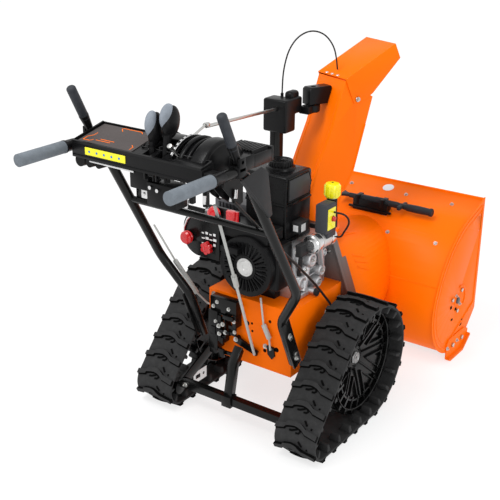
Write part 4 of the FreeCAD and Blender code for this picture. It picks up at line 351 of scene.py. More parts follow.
# %% A material's tree
class Finish:
    """A material with one principled surface, read in object coordinates."""

    def __init__(self, name):
        self.material = bpy.data.materials.new(name)
        self.material.use_nodes = True
        self.tree = self.material.node_tree
        self.surface = self.tree.nodes["Principled BSDF"]
        self.place = self.node("ShaderNodeTexCoord", {}, {}, "Object")

    def node(self, kind, settings, sockets, output=0):
        made = self.tree.nodes.new(kind)
        for key, value in settings.items():
            if key == "stops":
                ramp = made.color_ramp
                while len(ramp.elements) < len(value):
                    ramp.elements.new(0.5)
                for element, (position, level) in zip(ramp.elements, value):
                    element.position = position
                    element.color = (level, level, level, 1)
            else:
                setattr(made, key, value)
        for key, value in sockets.items():
            self.feed(made.inputs[key], value)
        return Value(self, made.outputs[output])

    def feed(self, socket, value):
        if isinstance(value, Value):
            self.tree.links.new(value.socket, socket)
        else:
            socket.default_value = value

    def noise(self, scale, detail=3.0, rough=0.5, place=None):
        sockets = {"Vector": place or self.place, "Scale": scale, "Detail": detail, "Roughness": rough}
        return self.node("ShaderNodeTexNoise", {}, sockets, "Fac")

    def cells(self, scale):
        sockets = {"Vector": self.place, "Scale": scale}
        return self.node("ShaderNodeTexVoronoi", {"feature": "F1"}, sockets, "Distance")

    def ramp(self, value, *stops):
        return self.node("ShaderNodeValToRGB", {"stops": stops}, {0: value}, "Color")

    def axis(self, name):
        return self.node("ShaderNodeSeparateXYZ", {}, {0: self.place}, name)

    def mixed(self, share, first, second):
        first, second = (colour if isinstance(colour, Value) else (*colour, 1) for colour in (first, second))
        return self.node("ShaderNodeMix", {"data_type": "RGBA"}, {"Factor": share, 6: first, 7: second}, 2)

    def shades(self, share, colour, low, high=1.0):
        """From a darker to a lighter tone of one colour."""
        return self.mixed(share, [c * low for c in colour], [min(1, c * high) for c in colour])

    def set(self, **sockets):
        for key, value in sockets.items():
            self.feed(self.surface.inputs[key.replace("_", " ")], value)
        return self

    def relief(self, height, depth, strength):
        """Bump: height from 0 to 1, depth in metres."""
        sockets = {"Height": height, "Distance": depth, "Strength": strength}
        self.set(Normal=self.node("ShaderNodeBump", {}, sockets, "Normal"))
        return self.material


def linear(red, green, blue):
    """A screen colour, 0 to 255, as the light values a shader works in."""
    return tuple((c / 255 / 12.92) if c < 11 else ((c / 255 + 0.055) / 1.055) ** 2.4 for c in (red, green, blue))


ORANGE = linear(255, 112, 0)
BLACK = (0.004, 0.004, 0.004)
print("orange", [round(c, 3) for c in ORANGE])

# %% [markdown]
# ## Paints, plastics and metals
# Powder coat has a faint orange peel and broad, barely visible changes of tone. Moulded plastic has
# a fine grain that scatters light. Rubber is matte, and dusty where it is rough. Each finish is one
# function of its colour, so that the orange and the black paint stay relatives.

# %% Paint and plastic
def powder_coat(name, colour, rough, shine):
    f = Finish(name)
    broad = f.noise(3.5, 4)
    peel = f.noise(420, 2)
    specks = f.ramp(f.noise(900, 2), (0.70, 0.0), (0.76, 1.0))
    tone = f.mixed(specks * 0.25, f.shades(broad, colour, 0.86), [min(1, c * 1.2 + 0.03) for c in colour])
    f.set(Base_Color=tone, Roughness=rough - 0.06 + 0.14 * broad, Coat_Roughness=0.12, Specular_IOR_Level=shine)
    return f.relief(0.8 * peel + 0.2 * broad, 0.00025, 0.35)


def moulded(name, colour, rough=0.5, grain=650, depth=0.0002, shine=0.14):
    f = Finish(name)
    fine = f.cells(grain)
    broad = f.noise(9, 4)
    flow = f.noise(60, 3)
    tone = f.shades(broad, colour, 0.75, 1.25)
    f.set(Base_Color=tone, Roughness=rough - 0.08 + 0.12 * flow + 0.06 * broad, Specular_IOR_Level=shine)
    return f.relief(fine, depth, 0.5)


def glossy(name, colour, rough=0.22):
    f = Finish(name)
    tone = f.shades(f.noise(25, 3), colour, 0.8)
    f.set(Base_Color=tone, Roughness=rough + 0.1 * f.noise(130, 3), Coat_Weight=0.4)
    return f.relief(f.noise(300, 2), 0.0001, 0.3)


# %% Rubber and metal
def rubber(name, colour, rough, dust, grain=380, shine=0.2):
    f = Finish(name)
    fine = f.noise(grain, 5, 0.65)
    chalk = f.ramp(f.noise(38, 6, 0.7), (0.45, 0.0), (0.72, 1.0))
    tone = f.mixed(dust * chalk, f.shades(f.noise(14, 4), colour, 0.8), [c * 1.8 + 0.012 for c in colour])
    f.set(Base_Color=tone, Roughness=rough - 0.08 + 0.16 * fine, Specular_IOR_Level=shine)
    return f.relief(fine, 0.0006, 0.6)


def metal(name, colour, rough, grain=(1, 1, 1), depth=0.00008, metallic=1.0):
    """Brushed or plated metal; grain stretches the brushing along an axis."""
    f = Finish(name)
    brushed = f.node("ShaderNodeMapping", {}, {"Vector": f.place, "Scale": [900 * g for g in grain]}, "Vector")
    lines = f.noise(1, 3, 0.6, brushed)
    bloom = f.noise(45, 4)
    tone = f.shades(bloom, colour, 0.78)
    f.set(Base_Color=tone, Roughness=rough - 0.08 + 0.1 * lines + 0.12 * bloom, Metallic=metallic)
    return f.relief(lines, depth, 0.5)


def cast(name, colour, rough, depth=0.0007):
    f = Finish(name)
    sand = f.noise(520, 5, 0.7)
    pits = f.cells(260)
    dark = f.ramp(pits, (0.12, 1.0), (0.3, 0.0)) * 0.4
    tone = f.mixed(dark, f.shades(f.noise(22, 4), colour, 0.65), [c * 0.4 for c in colour])
    f.set(Base_Color=tone, Roughness=rough - 0.1 + 0.25 * sand, Metallic=0.85)
    return f.relief(0.6 * sand + 0.4 * pits, depth, 0.55)


def bounced(name, upper, lower, low_z, high_z, rough=0.5):
    """Grey plastic with a painted reflection: the warm light of the housing is painted into its lower part, and
    it turns black towards its low x end.
    """
    f = Finish(name)
    sockets = {"Value": f.axis("Z"), "From Min": low_z, "From Max": high_z}
    share = f.node("ShaderNodeMapRange", {}, sockets, "Result")
    edge = f.ramp(f.axis("X") * 5 + 0.2 * f.noise(9, 4), (0.2, 0.0), (0.45, 1.0))
    tone = f.mixed(edge, BLACK, f.mixed(share, lower, upper))
    f.set(Base_Color=tone, Roughness=rough - 0.05 + 0.1 * f.noise(60, 3), Specular_IOR_Level=0.25)
    return f.relief(f.cells(650), 0.0002, 0.5)


# %% Colours
orange_paint = powder_coat("orange_paint", ORANGE, 0.4, 0.08)
black_paint = powder_coat("black_paint", BLACK, 0.24, 0.2)
dark_plastic = moulded("dark_plastic", (0.005, 0.005, 0.0054), 0.3)
soft_plastic = moulded("soft_plastic", (0.022, 0.022, 0.023))
grey_plastic = moulded("grey_plastic", linear(118, 122, 130))
# The belt cover's brownish lower part is a painted reflection of the orange housing.
cover_grey = bounced("cover_grey", linear(104, 101, 100), linear(104, 60, 44), 0.36, 0.50)
tank_plastic = moulded("tank_plastic", (0.004, 0.004, 0.0042), 0.26, 900, 0.00012)
tool_plastic = moulded("tool_plastic", (0.018, 0.022, 0.026), 0.4)
wheel_plastic = moulded("wheel_plastic", (0.003, 0.003, 0.003), 0.24, 900, 0.00008, 0.3)
red_plastic = glossy("red_plastic", linear(200, 12, 22))
yellow_plastic = glossy("yellow_plastic", linear(245, 235, 20))
label_white = glossy("label_white", (0.75, 0.75, 0.75), 0.4)
track_rubber = rubber("track_rubber", (0.026, 0.026, 0.0265), 0.75, 0.3)
# A near-black copy of the track rubber: painted shade for the tread's flanks and the dark inside of slots and
# holes.
tread_shade = rubber("tread_shade", (0.001, 0.001, 0.001), 0.9, 0.0, shine=0.1)
pad_grey = rubber("pad_grey", linear(128, 135, 144), 0.6, 0.25, 520)
grip_rubber = rubber("grip_rubber", linear(108, 115, 122), 0.6, 0.25, 520)
paddle_slate = rubber("paddle_slate", linear(50, 53, 58), 0.55, 0.2, 520)
belt_rubber = rubber("belt_rubber", (0.02, 0.02, 0.02), 0.6, 0.2)
cable_sheath = moulded("cable_sheath", (0.012, 0.012, 0.012), 0.35, 1500, 0.00005)
zinc = metal("zinc", linear(205, 205, 202), 0.28)
bright_steel = metal("bright_steel", linear(222, 222, 222), 0.2, (1, 0.04, 1))
dark_steel = metal("dark_steel", linear(95, 95, 98), 0.36)
silver_paint = metal("silver_paint", linear(210, 210, 208), 0.35, depth=0.00004, metallic=0.6)
cap_grey = metal("cap_grey", linear(165, 165, 165), 0.35, depth=0.00005)
cast_alloy = cast("cast_alloy", linear(204, 204, 206), 0.42)
barrel_white = moulded("barrel_white", linear(176, 177, 174), 0.4)
badge_white = moulded("badge_white", linear(214, 216, 220), 0.45)
panel_grey = moulded("panel_grey", linear(58, 58, 59), 0.45)
box_grey = moulded("box_grey", linear(58, 60, 64), 0.45)
mat_brown = moulded("mat_brown", linear(74, 68, 67))
orange_ink = moulded("orange_ink", ORANGE)
strip_yellow = moulded("strip_yellow", linear(238, 226, 60))
icon_blue = moulded("icon_blue", linear(60, 120, 190))
print("materials", len(bpy.data.materials))

# %% [markdown]
# Every finished piece has a name, one material and a body that it rides on.


def finish(parts, name, material, body="chassis", replaces=()):
    """Join a piece, give it its name and material, and say what it rides on and stands for."""
    obj = join(parts) if isinstance(parts, list) else pick(parts)
    obj.name = obj.data.name = name
    if material is not None:
        tint(obj, material)
    bpy.ops.object.shade_smooth_by_angle(angle=math.radians(35))
    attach(obj, body)
    if replaces:
        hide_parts(*replaces)
    print(name, "on", body, len(obj.data.polygons), "faces")
    return obj


def both_sides(right, name, material, bodies=("chassis", "chassis"), replaces=((), ())):
    """Finish a piece on the right and its mirror image on the left."""
    right = finish(right, name + "_right", material, bodies[0], replaces[0])
    finish(mirrored(right), name + "_left", material, bodies[1], replaces[1])


def tint(obj, *materials):
    obj.data.materials.clear()
    for material in materials:
        obj.data.materials.append(material)
    return obj


# %% [markdown]
# ## Dress the CAD parts
# A CAD part whose shape is right keeps it. Two live modifiers help it catch the light: Weld joins
# its loose triangles, and Bevel rounds the edges as a real press or mould would.

# %% Materials of the CAD parts
DRESS = {
    orange_paint: "auger_housing housing_sides impeller_drum skid_shoes frame_box chute deflector "
                  "auger_flights impeller",
    black_paint: "scraper_bar handlebars track_frame gearbox_post control_panel",
    dark_plastic: "chute_base clean_out_tool engine_cowl recoil_cover recoil_handle dash_panel speed_console "
                  "headlight side_cover gearbox_cover drive_wheel_right drive_wheel_left rear_wheel_right "
                  "rear_wheel_left",
    tank_plastic: "fuel_tank fuel_cap",
    track_rubber: "track_right track_left",
    grip_rubber: "grips",
    paddle_slate: "clutch_lever_right clutch_lever_left",
    belt_rubber: "drive_belt",
    cable_sheath: "steer_cable deflector_cable starter_cord",
    red_plastic: "choke_knob throttle_knob primer_bulb ignition_key starter_button",
    yellow_plastic: "oil_cap",
    grey_plastic: "chute_lever deflector_lever",
    cover_grey: "belt_cover",
    zinc: "fasteners chute_rod speed_lever",
    barrel_white: "clutch_springs shift_rod",
    dark_steel: "crankshaft axle auger_shaft muffler",
    cast_alloy: "crankcase starter_motor gear_case",
}
PLAIN = ("steer_cable", "deflector_cable", "starter_cord", "auger_flights")


def dress(obj, material, edges):
    tint(obj, material)
    obj.data.polygons.foreach_set("use_smooth", [True] * len(obj.data.polygons))
    weld = obj.modifiers.new("Weld", "WELD")
    weld.merge_threshold = 0.00001
    if edges:
        edge = obj.modifiers.new("Bevel", "BEVEL")
        edge.width = 0.0008
        edge.segments = 2
        edge.limit_method = "ANGLE"
        edge.angle_limit = math.radians(40)
        edge.harden_normals = True


for material, names in DRESS.items():
    for node in names.split():
        dress(NODES[node], material, node not in PLAIN)
print("not dressed", [node for node in NODES if not NODES[node].data.materials])

# %% [markdown]
# ## Rubber tracks
# A track is one closed belt with the same tread block over and over. So the block is modelled once,
# lying flat, copied along a straight strip, and the whole strip is then wrapped round the path of
# the belt: every vertex keeps its height over the path. The path is two arcs round the wheels and
# the two straight runs between them.

# %% The belt's path
TRACK_LOW, TRACK_HIGH = cad_box("track_right")
AXLE = sum(cad_box("drive_wheel_right"), Vector()) / 2
REAR = sum(cad_box("rear_wheel_right"), Vector()) / 2
TRACK_WIDTH = TRACK_HIGH.x - TRACK_LOW.x
AXLE.x = REAR.x = TRACK_LOW.x + TRACK_WIDTH / 2
LUG_HEIGHT, BELT_THICK, WHEEL_WIDTH, LUG_COUNT = 10, 8, 60, 23
FRONT_R = AXLE.z - LUG_HEIGHT
REAR_R = REAR.z - LUG_HEIGHT
BASE = AXLE.y - REAR.y
UPPER_FACE = math.pi / 2 + 2 * math.atan2(AXLE.z - REAR.z, BASE)
FRONT_ARC = (UPPER_FACE + math.pi / 2) * FRONT_R
UPPER_RUN = math.sqrt(BASE ** 2 + (AXLE.z - REAR.z) ** 2 - (FRONT_R - REAR_R) ** 2)
REAR_ARC = (3 * math.pi / 2 - UPPER_FACE) * REAR_R
BELT_LENGTH = BASE + FRONT_ARC + UPPER_RUN + REAR_ARC
LUG_PITCH = BELT_LENGTH / LUG_COUNT
print("belt", round(BELT_LENGTH), "pitch", round(LUG_PITCH, 1))


# %% From the strip to the belt
def about(centre, across, reach, facing):
    """The place at a distance and an angle from a wheel's middle."""
    turned_y, turned_z = reach * math.cos(facing), reach * math.sin(facing)
    return Vector((TRACK_LOW.x + across, centre.y + turned_y, centre.z + turned_z))


def belt_point(across, along, height):
    """From the flat strip to the wrapped belt."""
    along %= BELT_LENGTH
    if along < BASE:
        return Vector((TRACK_LOW.x + across, REAR.y + along, LUG_HEIGHT - height))
    along -= BASE
    if along < FRONT_ARC:
        return about(AXLE, across, FRONT_R + height, along / FRONT_R - math.pi / 2)
    along -= FRONT_ARC
    if along < UPPER_RUN:
        back = Vector((0, -math.sin(UPPER_FACE), math.cos(UPPER_FACE)))
        return about(AXLE, across, FRONT_R + height, UPPER_FACE) + back * along
    return about(REAR, across, REAR_R + height, UPPER_FACE + (along - UPPER_RUN) / REAR_R)


print("top of the belt over the axle", round(belt_point(0, BASE + math.pi / 2 * FRONT_R, 0).z, 1))

# %% [markdown]
# The tread is moulded with the belt: a chevron bar with a step in it, and behind it a hook, a slash
# and a dash. The flanks of a bar hardly see the sky, so their shade is painted: they get a near-black
# copy of the rubber. The hook, the slash and the dash are raised in the same near-black rubber, so
# their darkness is painted shade on real shapes, and a near-black strip along each chevron's foot is
# a painted shadow. On the inside two rows of tapered cogs run beside the drive wheel and keep the belt on it.

# %% One tread block and its cogs
LUG_LENGTH = 15
CHEVRON = [(0, 0), (31, -7), (35, -14), (50, -18), (62, -20), (74, -19), (84, -16), (93, -11), (101, -6),
           (143, 0)]
HOOK = [(47, 2), (56, 1), (66, -4), (74, -9), (80, -7), (83, -1), (79, 4), (70, 5)]
SLASH = [(85, -38), (92, -31), (98, -25)]
DASH_MARK = [(113, -21), (117, -19)]
FOOT_SHADOW_LINE = [(x, y + LUG_LENGTH / 2 + 1.6) for x, y in CHEVRON]


def tread_block():
    lug = bar_along(CHEVRON, LUG_LENGTH, -BELT_THICK / 2, LUG_HEIGHT, 0.7, square=True)
    tint(lug, track_rubber, tread_shade)
    # Faces that are not flat on top get the near-black rubber: painted shade on the flanks.
    for face in lug.data.polygons:
        face.material_index = 0 if abs(face.normal.z) > 0.7 else 1
    # The hook, slash and dash are real raised shapes; their near-black colour is painted shade.
    marks = [bar_along(line, 5.6, -1, 2.6) for line in (HOOK, SLASH, DASH_MARK)]
    # A thin near-black strip along the chevron's foot: a painted shadow.
    marks.append(bar_along(FOOT_SHADOW_LINE, 4.2, -1, 1.6, square=True))
    return join([lug] + [tint(mark, tread_shade) for mark in marks])


def cog(across, width):
    """A tapered cog on the belt's inside, halfway between two chevrons."""
    start, low, height = LUG_PITCH / 2, 1 - BELT_THICK, 24
    centre = across + width / 2

    def narrow(x, y, z):
        if z > low - height / 2:
            return x, y, z
        return centre + (x - centre) * 0.8, start + (y - start) * 0.55, z

    whole = block((across, start - 9, low - height), (across + width, start + 9, low))
    return tint(soften(mapped(whole, narrow), 2), track_rubber)


# %% The whole belt, wrapped
def belt_band():
    clear()
    bpy.ops.mesh.primitive_grid_add(x_subdivisions=6, y_subdivisions=230, size=1)
    obj = bpy.context.object
    almost_all = 0.999999 * BELT_LENGTH
    for vertex in obj.data.vertices:
        across, along = vertex.co.x + 0.5, vertex.co.y + 0.5
        vertex.co = metres(belt_point(across * TRACK_WIDTH, along * almost_all, 0))
    shaped(obj, lambda: bpy.ops.mesh.remove_doubles(threshold=0.0005))
    modify(obj, "SOLIDIFY", thickness=BELT_THICK * MM, offset=-1)
    return tint(soften(obj, 1.5, 2, 60), track_rubber)


def track():
    cog_width = (TRACK_WIDTH - WHEEL_WIDTH) / 2 - 5
    models = [tread_block(), join([cog(3, cog_width), cog(TRACK_WIDTH - 3 - cog_width, cog_width)])]
    flat = [shifted(model, Y * LUG_PITCH * (index + 1)) for index in range(LUG_COUNT) for model in models]
    for model in models:
        bpy.data.objects.remove(model)
    return [belt_band(), mapped(join(flat), belt_point)]


right_track = finish(track(), "track_belt_right", None, "track_carriage", ["track_right"])
finish(shifted(right_track, X * -2 * AXLE.x), "track_belt_left", None, "track_carriage", ["track_left"])

# %% [markdown]
# ## Drive wheels
# The drive wheel is a moulded dish: a toothed rim, eight triangular windows between its spokes,
# and a hub that rises to the outside with a six-sided cap. The dish is turned from a profile,
# and the frames of the windows are flat bars that are then laid on the dish's slope.

# %% The wheel's dish
WHEEL_R = FRONT_R - BELT_THICK - 0.6
RIM_R = WHEEL_R - 18
DISH_R = 134
HUB_R = 38
HUB = AXLE - X * 7
WINDOW_COUNT = 8
WINDOW_TURN = 24
TOOTH_COUNT = 22
WINDOW = [(60, 0), (95, 9), (130, 12.5), (133, 0), (130, -12.5), (95, -9), (60, 0)]


def dish_x(radius):
    """Where the dish stands at a radius: it opens to the outside like a shallow cone."""
    share = min(max((radius - HUB_R) / (RIM_R - HUB_R), 0), 1)
    return HUB.x + 30 * share ** 0.8


def on_dish(a, b, height):
    return dish_x(math.hypot(a, b)) + height, AXLE.y + a, AXLE.z + b


def web():
    rings = [HUB_R + (DISH_R - HUB_R) * step / 8 for step in range(9)]
    outer = [(r, dish_x(r) - AXLE.x) for r in rings]
    return lathed(outer + [(r, x - 6) for r, x in reversed(outer)], AXLE, X, 96)


def window_frame():
    corners = [(r * math.cos(math.radians(turn)), r * math.sin(math.radians(turn))) for r, turn in WINDOW]
    return mapped(bar_along(corners, 4, -2, 9, 1), on_dish)


print("wheel radius", round(WHEEL_R), "rim", round(RIM_R), "dish depth", round(dish_x(DISH_R) - dish_x(HUB_R)))


# %% The wheel and its cap
def drive_wheel():
    half = WHEEL_WIDTH / 2
    rim = lathed([(RIM_R - 5, 2 - half), (RIM_R - 5, half - 2), (RIM_R, half), (RIM_R, -half)], AXLE, X, 96)
    inner_rim = lathed([(DISH_R - 3, 0), (DISH_R - 3, 25), (DISH_R + 2, 25), (DISH_R + 2, 0)], AXLE, X, 96)
    hub = lathed([(13, -34), (44, -34), (44, 0), (36, 5), (30, 6), (27, 2), (13, 2)], HUB, X)
    tooth = block(AXLE + Vector((4 - half, -11, RIM_R - 3)), AXLE + Vector((half - 4, 11, WHEEL_R - 1)))
    tip = AXLE.z + RIM_R + 5
    tooth = mapped(tooth, lambda x, y, z: (x, AXLE.y + (y - AXLE.y) * (0.6 if z > tip else 1), z))
    rib = pad(AXLE + Vector((-16, -4, DISH_R - 12)), AXLE + Vector((27, 4, RIM_R - 3)), 0.8, 1)
    spoke = mapped(bar_along([(x, 0) for x in (34, 60, 85, 110, 138)], 6, -4, 7, 1.2), on_dish)
    return [web(), soften(rim, 1.5), inner_rim, hub,
            *all_round(window_frame(), WINDOW_COUNT, "X", AXLE, WINDOW_TURN),
            *all_round(spoke, WINDOW_COUNT, "X", AXLE, WINDOW_TURN + 180 / WINDOW_COUNT),
            *all_round(soften(tooth, 2), TOOTH_COUNT, "X", AXLE),
            *all_round(rib, TOOTH_COUNT, "X", AXLE, 180 / TOOTH_COUNT)]


def hub_cap():
    centre = HUB + X * 3
    dish = lathed([(5, 5), (17, 5), (17, 7.5), (13, 7.5), (12, 6.4), (5, 6.4)], centre, X, 32)
    return [soften(tapered(centre, centre + X * 6, 24, 21, 6), 1.5), dish,
            tapered(centre + X * 5, centre + X * 8.5, 5, 4, 24)]


DRIVES = ("drive_right", "drive_left")
both_sides(drive_wheel(), "toothed_wheel", wheel_plastic, DRIVES, (["drive_wheel_right"], ["drive_wheel_left"]))
both_sides(hub_cap(), "hub_cap", cap_grey, DRIVES)

# %% [markdown]
# ## Housing
# The housing is pressed from sheet metal, and its ridges stiffen it and catch the light. They could
# be bumps in the paint, but they show in the outline at an angle. So each ridge is a flat bar on a
# sheet of its own, which is then laid on the side plate, the drum or the fold.

# %% Ridges of the side plates
RIGHT_SIDE_X = cad_box("housing_sides")[1].x
SIDE_SLOTS = [([(568, 207), (580, 207)], 11), ([(610, 187), (621, 187)], 10), ([(584, 154), (596, 154)], 7),
              ([(678, 117), (692, 117)], 8), ([(668, 103), (682, 103)], 8)]
side_plane = on_plane((RIGHT_SIDE_X, 0, 0), Y, Z)


def side_ridge(inset, width, height):
    line = [(780, 549 - inset), *arc(775, 178.5, 357 - inset, 108, 165), *arc(620, 220, 197 - inset, 166, 246),
            (776, 150 + inset / 2), (780, 549 - inset)]
    return mapped(bar_along(line, width, -1, height, 0.9), side_plane)


arch = mapped(bar_along(arc(640, 216, 50, -38, 96, 12), 8, -1, 3.4, 1.6), side_plane)
boss = tapered((RIGHT_SIDE_X, 620, 220), (RIGHT_SIDE_X + 3, 620, 220), 22, 19)
both_sides([side_ridge(15, 7, 2.6), side_ridge(32, 3, 1.4), arch, boss], "side_ridge", orange_paint)
# The slots are near-black bars: painted shade for the dark inside of each slot.
slots = join([bar_along(line, width, -1, 2, 0.6) for line, width in SIDE_SLOTS])
both_sides(mapped(slots, side_plane), "side_slots", tread_shade)

# %% Ribs on the drum and the fold of the housing
DRUM_Z, DRUM_R = 290, 183
DRUM_RIBS = [(6, 330, 405), (24, 345, 425), (118, 300, 350), (140, 290, 350), (162, 285, 340)]


def on_drum(a, b, h):
    """Sheet to drum: a runs round it from the top, b runs forward."""
    turn = a / DRUM_R
    return (DRUM_R + h) * math.sin(turn), b, DRUM_Z + (DRUM_R + h) * math.cos(turn)


def drum_rib(start, first, last):
    line = [(start + 26 * share, first + (last - first) * share) for share in (0, 0.5, 1)]
    return mapped(bar_along(line, 9, -1, 3, 2.4), on_drum)


ribs = [drum_rib(*places) for places in DRUM_RIBS]
fold = bar_along([(-361, 0), (0, 0), (361, 0)], 5, -0.6, 0.9, 0.6)
fold = mapped(fold, on_plane((0, 453, 325), X, (0, 0.41, 0.91)))
seam = lathed([(DRUM_R - 1, 0), (DRUM_R + 4, 0), (DRUM_R + 4, 4), (DRUM_R - 1, 4)], (0, 205, DRUM_Z), Y, 96)
lip = round_bar((-363, 789.5, 554.5), (363, 789.5, 554.5), 4, 16)
finish([*ribs, fold, seam, lip], "housing_ribs", orange_paint)

# %% [markdown]
# The sheets are held by flanged hexagon bolts. One bolt is a washer, a head and the end of its
# stud, three short cones. A thread would not be seen, so there is none. A set of bolts that belong
# together is one piece.

# %% Bolts
def bolt(centre, axis, size):
    """A hexagon head on its washer, standing on a face."""
    centre, axis = Vector(centre), Vector(axis).normalized()
    return [tapered(centre - axis * 0.5, centre + axis * 1.6, 0.88 * size, 0.8 * size, 18),
            tapered(centre + axis * 1.4, centre + axis * 0.62 * size, 0.58 * size, 0.54 * size, 6),
            tapered(centre + axis * 0.5 * size, centre + axis * 0.85 * size, 0.28 * size, 0.25 * size, 10)]


def bolt_set(name, places, size=12, body="chassis"):
    finish([part for centre, axis in places for part in bolt(centre, axis, size)], name, zinc, body)


house_bolts = [((x, 722, 533), (0, -0.31, 0.95)) for x in (272, -272, 90, -140)]
house_bolts += [((x, 544, 446), (0, -0.65, 0.76)) for x in (114, 300, -300)]
house_bolts += [((side * x, y, z), (side, 0, 0)) for side in (-1, 1)
                for x, y, z in ((366, 614, 237), (366, 648, 196), (371, 564, 50), (371, 643, 52))]
bolt_set("housing_bolts", house_bolts, 9)

# %% [markdown]
# ## Clean-out tool
# A moulded stick clears snow out of the chute: a turned shaft with a guard at its grip and a small
# scoop at its other end. It snaps into a clip on the housing, which is one bent profile.

# %% Tool and clip
TOOL = Vector((0, 613, 527))
CLIP = [(595.4, 484), (630.6, 502), (630.6, 527), (624, 527), (621.5, 519), (613, 516.9), (604.5, 519),
        (602, 527), (595.4, 527)]
SHAFT = [(0, -84), (9, -84), (10, -40), (13, -34), (13, 20), (14.5, 24), (14.5, 62), (11.5, 68), (11.5, 112),
         (10, 116), (10, 146), (13, 152), (14, 190), (13, 236), (15, 240), (15, 247), (11, 249.9), (0, 249.9)]
SCOOP = [(-84, -9), (-100, -14), (-124, -31), (-118, 0), (-124, 31), (-100, 14), (-84, 9)]
straps = [block((x, 594, 505), (x + 16, 632, 540)) for x in (-52, 50)]
clip = join([extruded(CLIP, -61, 79), block((-76, 590, 492), (96, 600, 500)), *straps])
finish(soften(clip, 1.5), "tool_clip", dark_plastic)
guard = pad(TOOL + Vector((123, -33, -8)), TOOL + Vector((137, 33, 8)), 5, 3)
scoop = extruded([(TOOL.x + a, TOOL.y + b) for a, b in SCOOP], TOOL.z - 4, TOOL.z + 5, "Z")
finish([lathed(SHAFT, TOOL, X, 32), guard, soften(scoop, 2)], "snow_tool", tool_plastic, "tool",
       ["clean_out_tool"])

# %% [markdown]
# ## Chute
# The chute is folded sheet on a toothed ring, and its folds show as creases. A bevel on the CAD
# part would round them all alike, so the creases are thin bars along the folds. They are placed in
# the chute's own frame, which stands turned over the ring.

# %% Creases, ring teeth, rivets and hinge
CHUTE_AXIS = Vector((-58, 290, 0))
CHUTE_PLACE = Matrix.Translation(metres(CHUTE_AXIS)) @ Matrix.Rotation(math.radians(-22), 4, "Z")
CREASES = [(58, 1.9, [(-59, 648), (-11.5, 762), (28.5, 858), (66, 982)]),
           (72.6, 3, [(92, 652), (120, 700), (163, 860)])]


def chute_point(place):
    return CHUTE_PLACE @ metres(place) / MM


def on_chute(obj):
    obj.data.transform(CHUTE_PLACE)
    return obj


creases = [round_bar((side * x, *start), (side * x, *end), radius, 8)
           for x, radius, line in CREASES for side in (-1, 1) for start, end in zip(line, line[1:])]
finish(on_chute(join(creases)), "chute_creases", orange_paint, "chute_body")
tooth = block(CHUTE_AXIS + Vector((99, -3, 501.4)), CHUTE_AXIS + Vector((103.6, 3, 511)))
finish(all_round(tooth, 40, "Z", CHUTE_AXIS), "chute_ring_teeth", dark_plastic, "chute_body")
finish([ball(chute_point((x, 79, 1022.5)), (6, 6, 3.6), 16) for x in (-34, -5, 24)], "deflector_rivets", zinc,
       "chute_cap")
outward = CHUTE_PLACE.to_3x3() @ X
hinge = [(chute_point((side * 78.6, 124, 949)), outward * side) for side in (-1, 1)]
bolt_set("hinge_bolts", hinge, 10, "chute_body")

# %% [markdown]
# ## Chute gearbox
# A hollow moulded cover hides the gears that turn the chute. It is a block with a notch cut from
# its front, rounded, hollowed, and drilled for the rod. An arm with a pin holds the chute's bracket.

# %% Gearbox cover and the bracket on the chute
BOX_LOW, BOX_HIGH = Vector((-161, 150, 857)), Vector((-72, 250, 965))
NOTCH_Y, NOTCH_Z, NOSE_WIDTH, WALL = 212, 912, 44, 4
ROD_FRONT = Vector((-109, 158, 935))
BRACKET = [(-25, 932.5), (49, 932.5), (65, 982), (62, 990), (-18, 990), (-25, 983)]
shell = subtract(block(BOX_LOW, BOX_HIGH), block((-170, NOTCH_Y, 850), (-60, 260, NOTCH_Z)),
                 block((-170, NOTCH_Y, 850), (BOX_HIGH.x - NOSE_WIDTH, 260, 970)))
hollow = block(BOX_LOW + Vector((WALL, WALL, WALL - 10)), (BOX_HIGH.x - WALL, NOTCH_Y - WALL, BOX_HIGH.z - WALL))
rod_run = (Vector((0, -349, 1000)) - ROD_FRONT).normalized()
rod_hole = round_bar(ROD_FRONT - rod_run * 20, ROD_FRONT + rod_run * 24, 7, 24)
shell = subtract(soften(shell, 8, 4), hollow, rod_hole)
dome = pad((-114, 200, 952), (-82, 250, 984), 12, 5)
neck = round_bar((-125, 208, 960), (-125, 208, 975), 5, 24)
pin = round_bar(CHUTE_AXIS + Z * 925, CHUTE_AXIS + Z * 986, 8)
arm = [pad((-84, 246, 906), (-46, 292, 931), 3),
       lathed([(0, 908), (20, 908), (24, 912), (24, 931), (0, 931)], CHUTE_AXIS, Z, 40)]
finish([shell, dome, neck, pin, *arm], "gearbox_shell", dark_plastic, replaces=["gearbox_cover"])
cover = subtract(soften(extruded(BRACKET, -26, 16), 3, 3), round_bar((0, 0, 930), (0, 0, 995), 8.8))
finish(on_chute(cover), "chute_bracket_cover", dark_plastic, "chute_body")

# %% [markdown]
# ## Frame
# The rear of the frame box is a plate with punched holes and, left of its middle, the painted
# brackets of the linkage: small flat bars and angles, which are blocks with rounded edges. A dark
# disc of painted shade stands for the darkness inside each hole, because the CAD box behind it is
# closed and is not changed here.

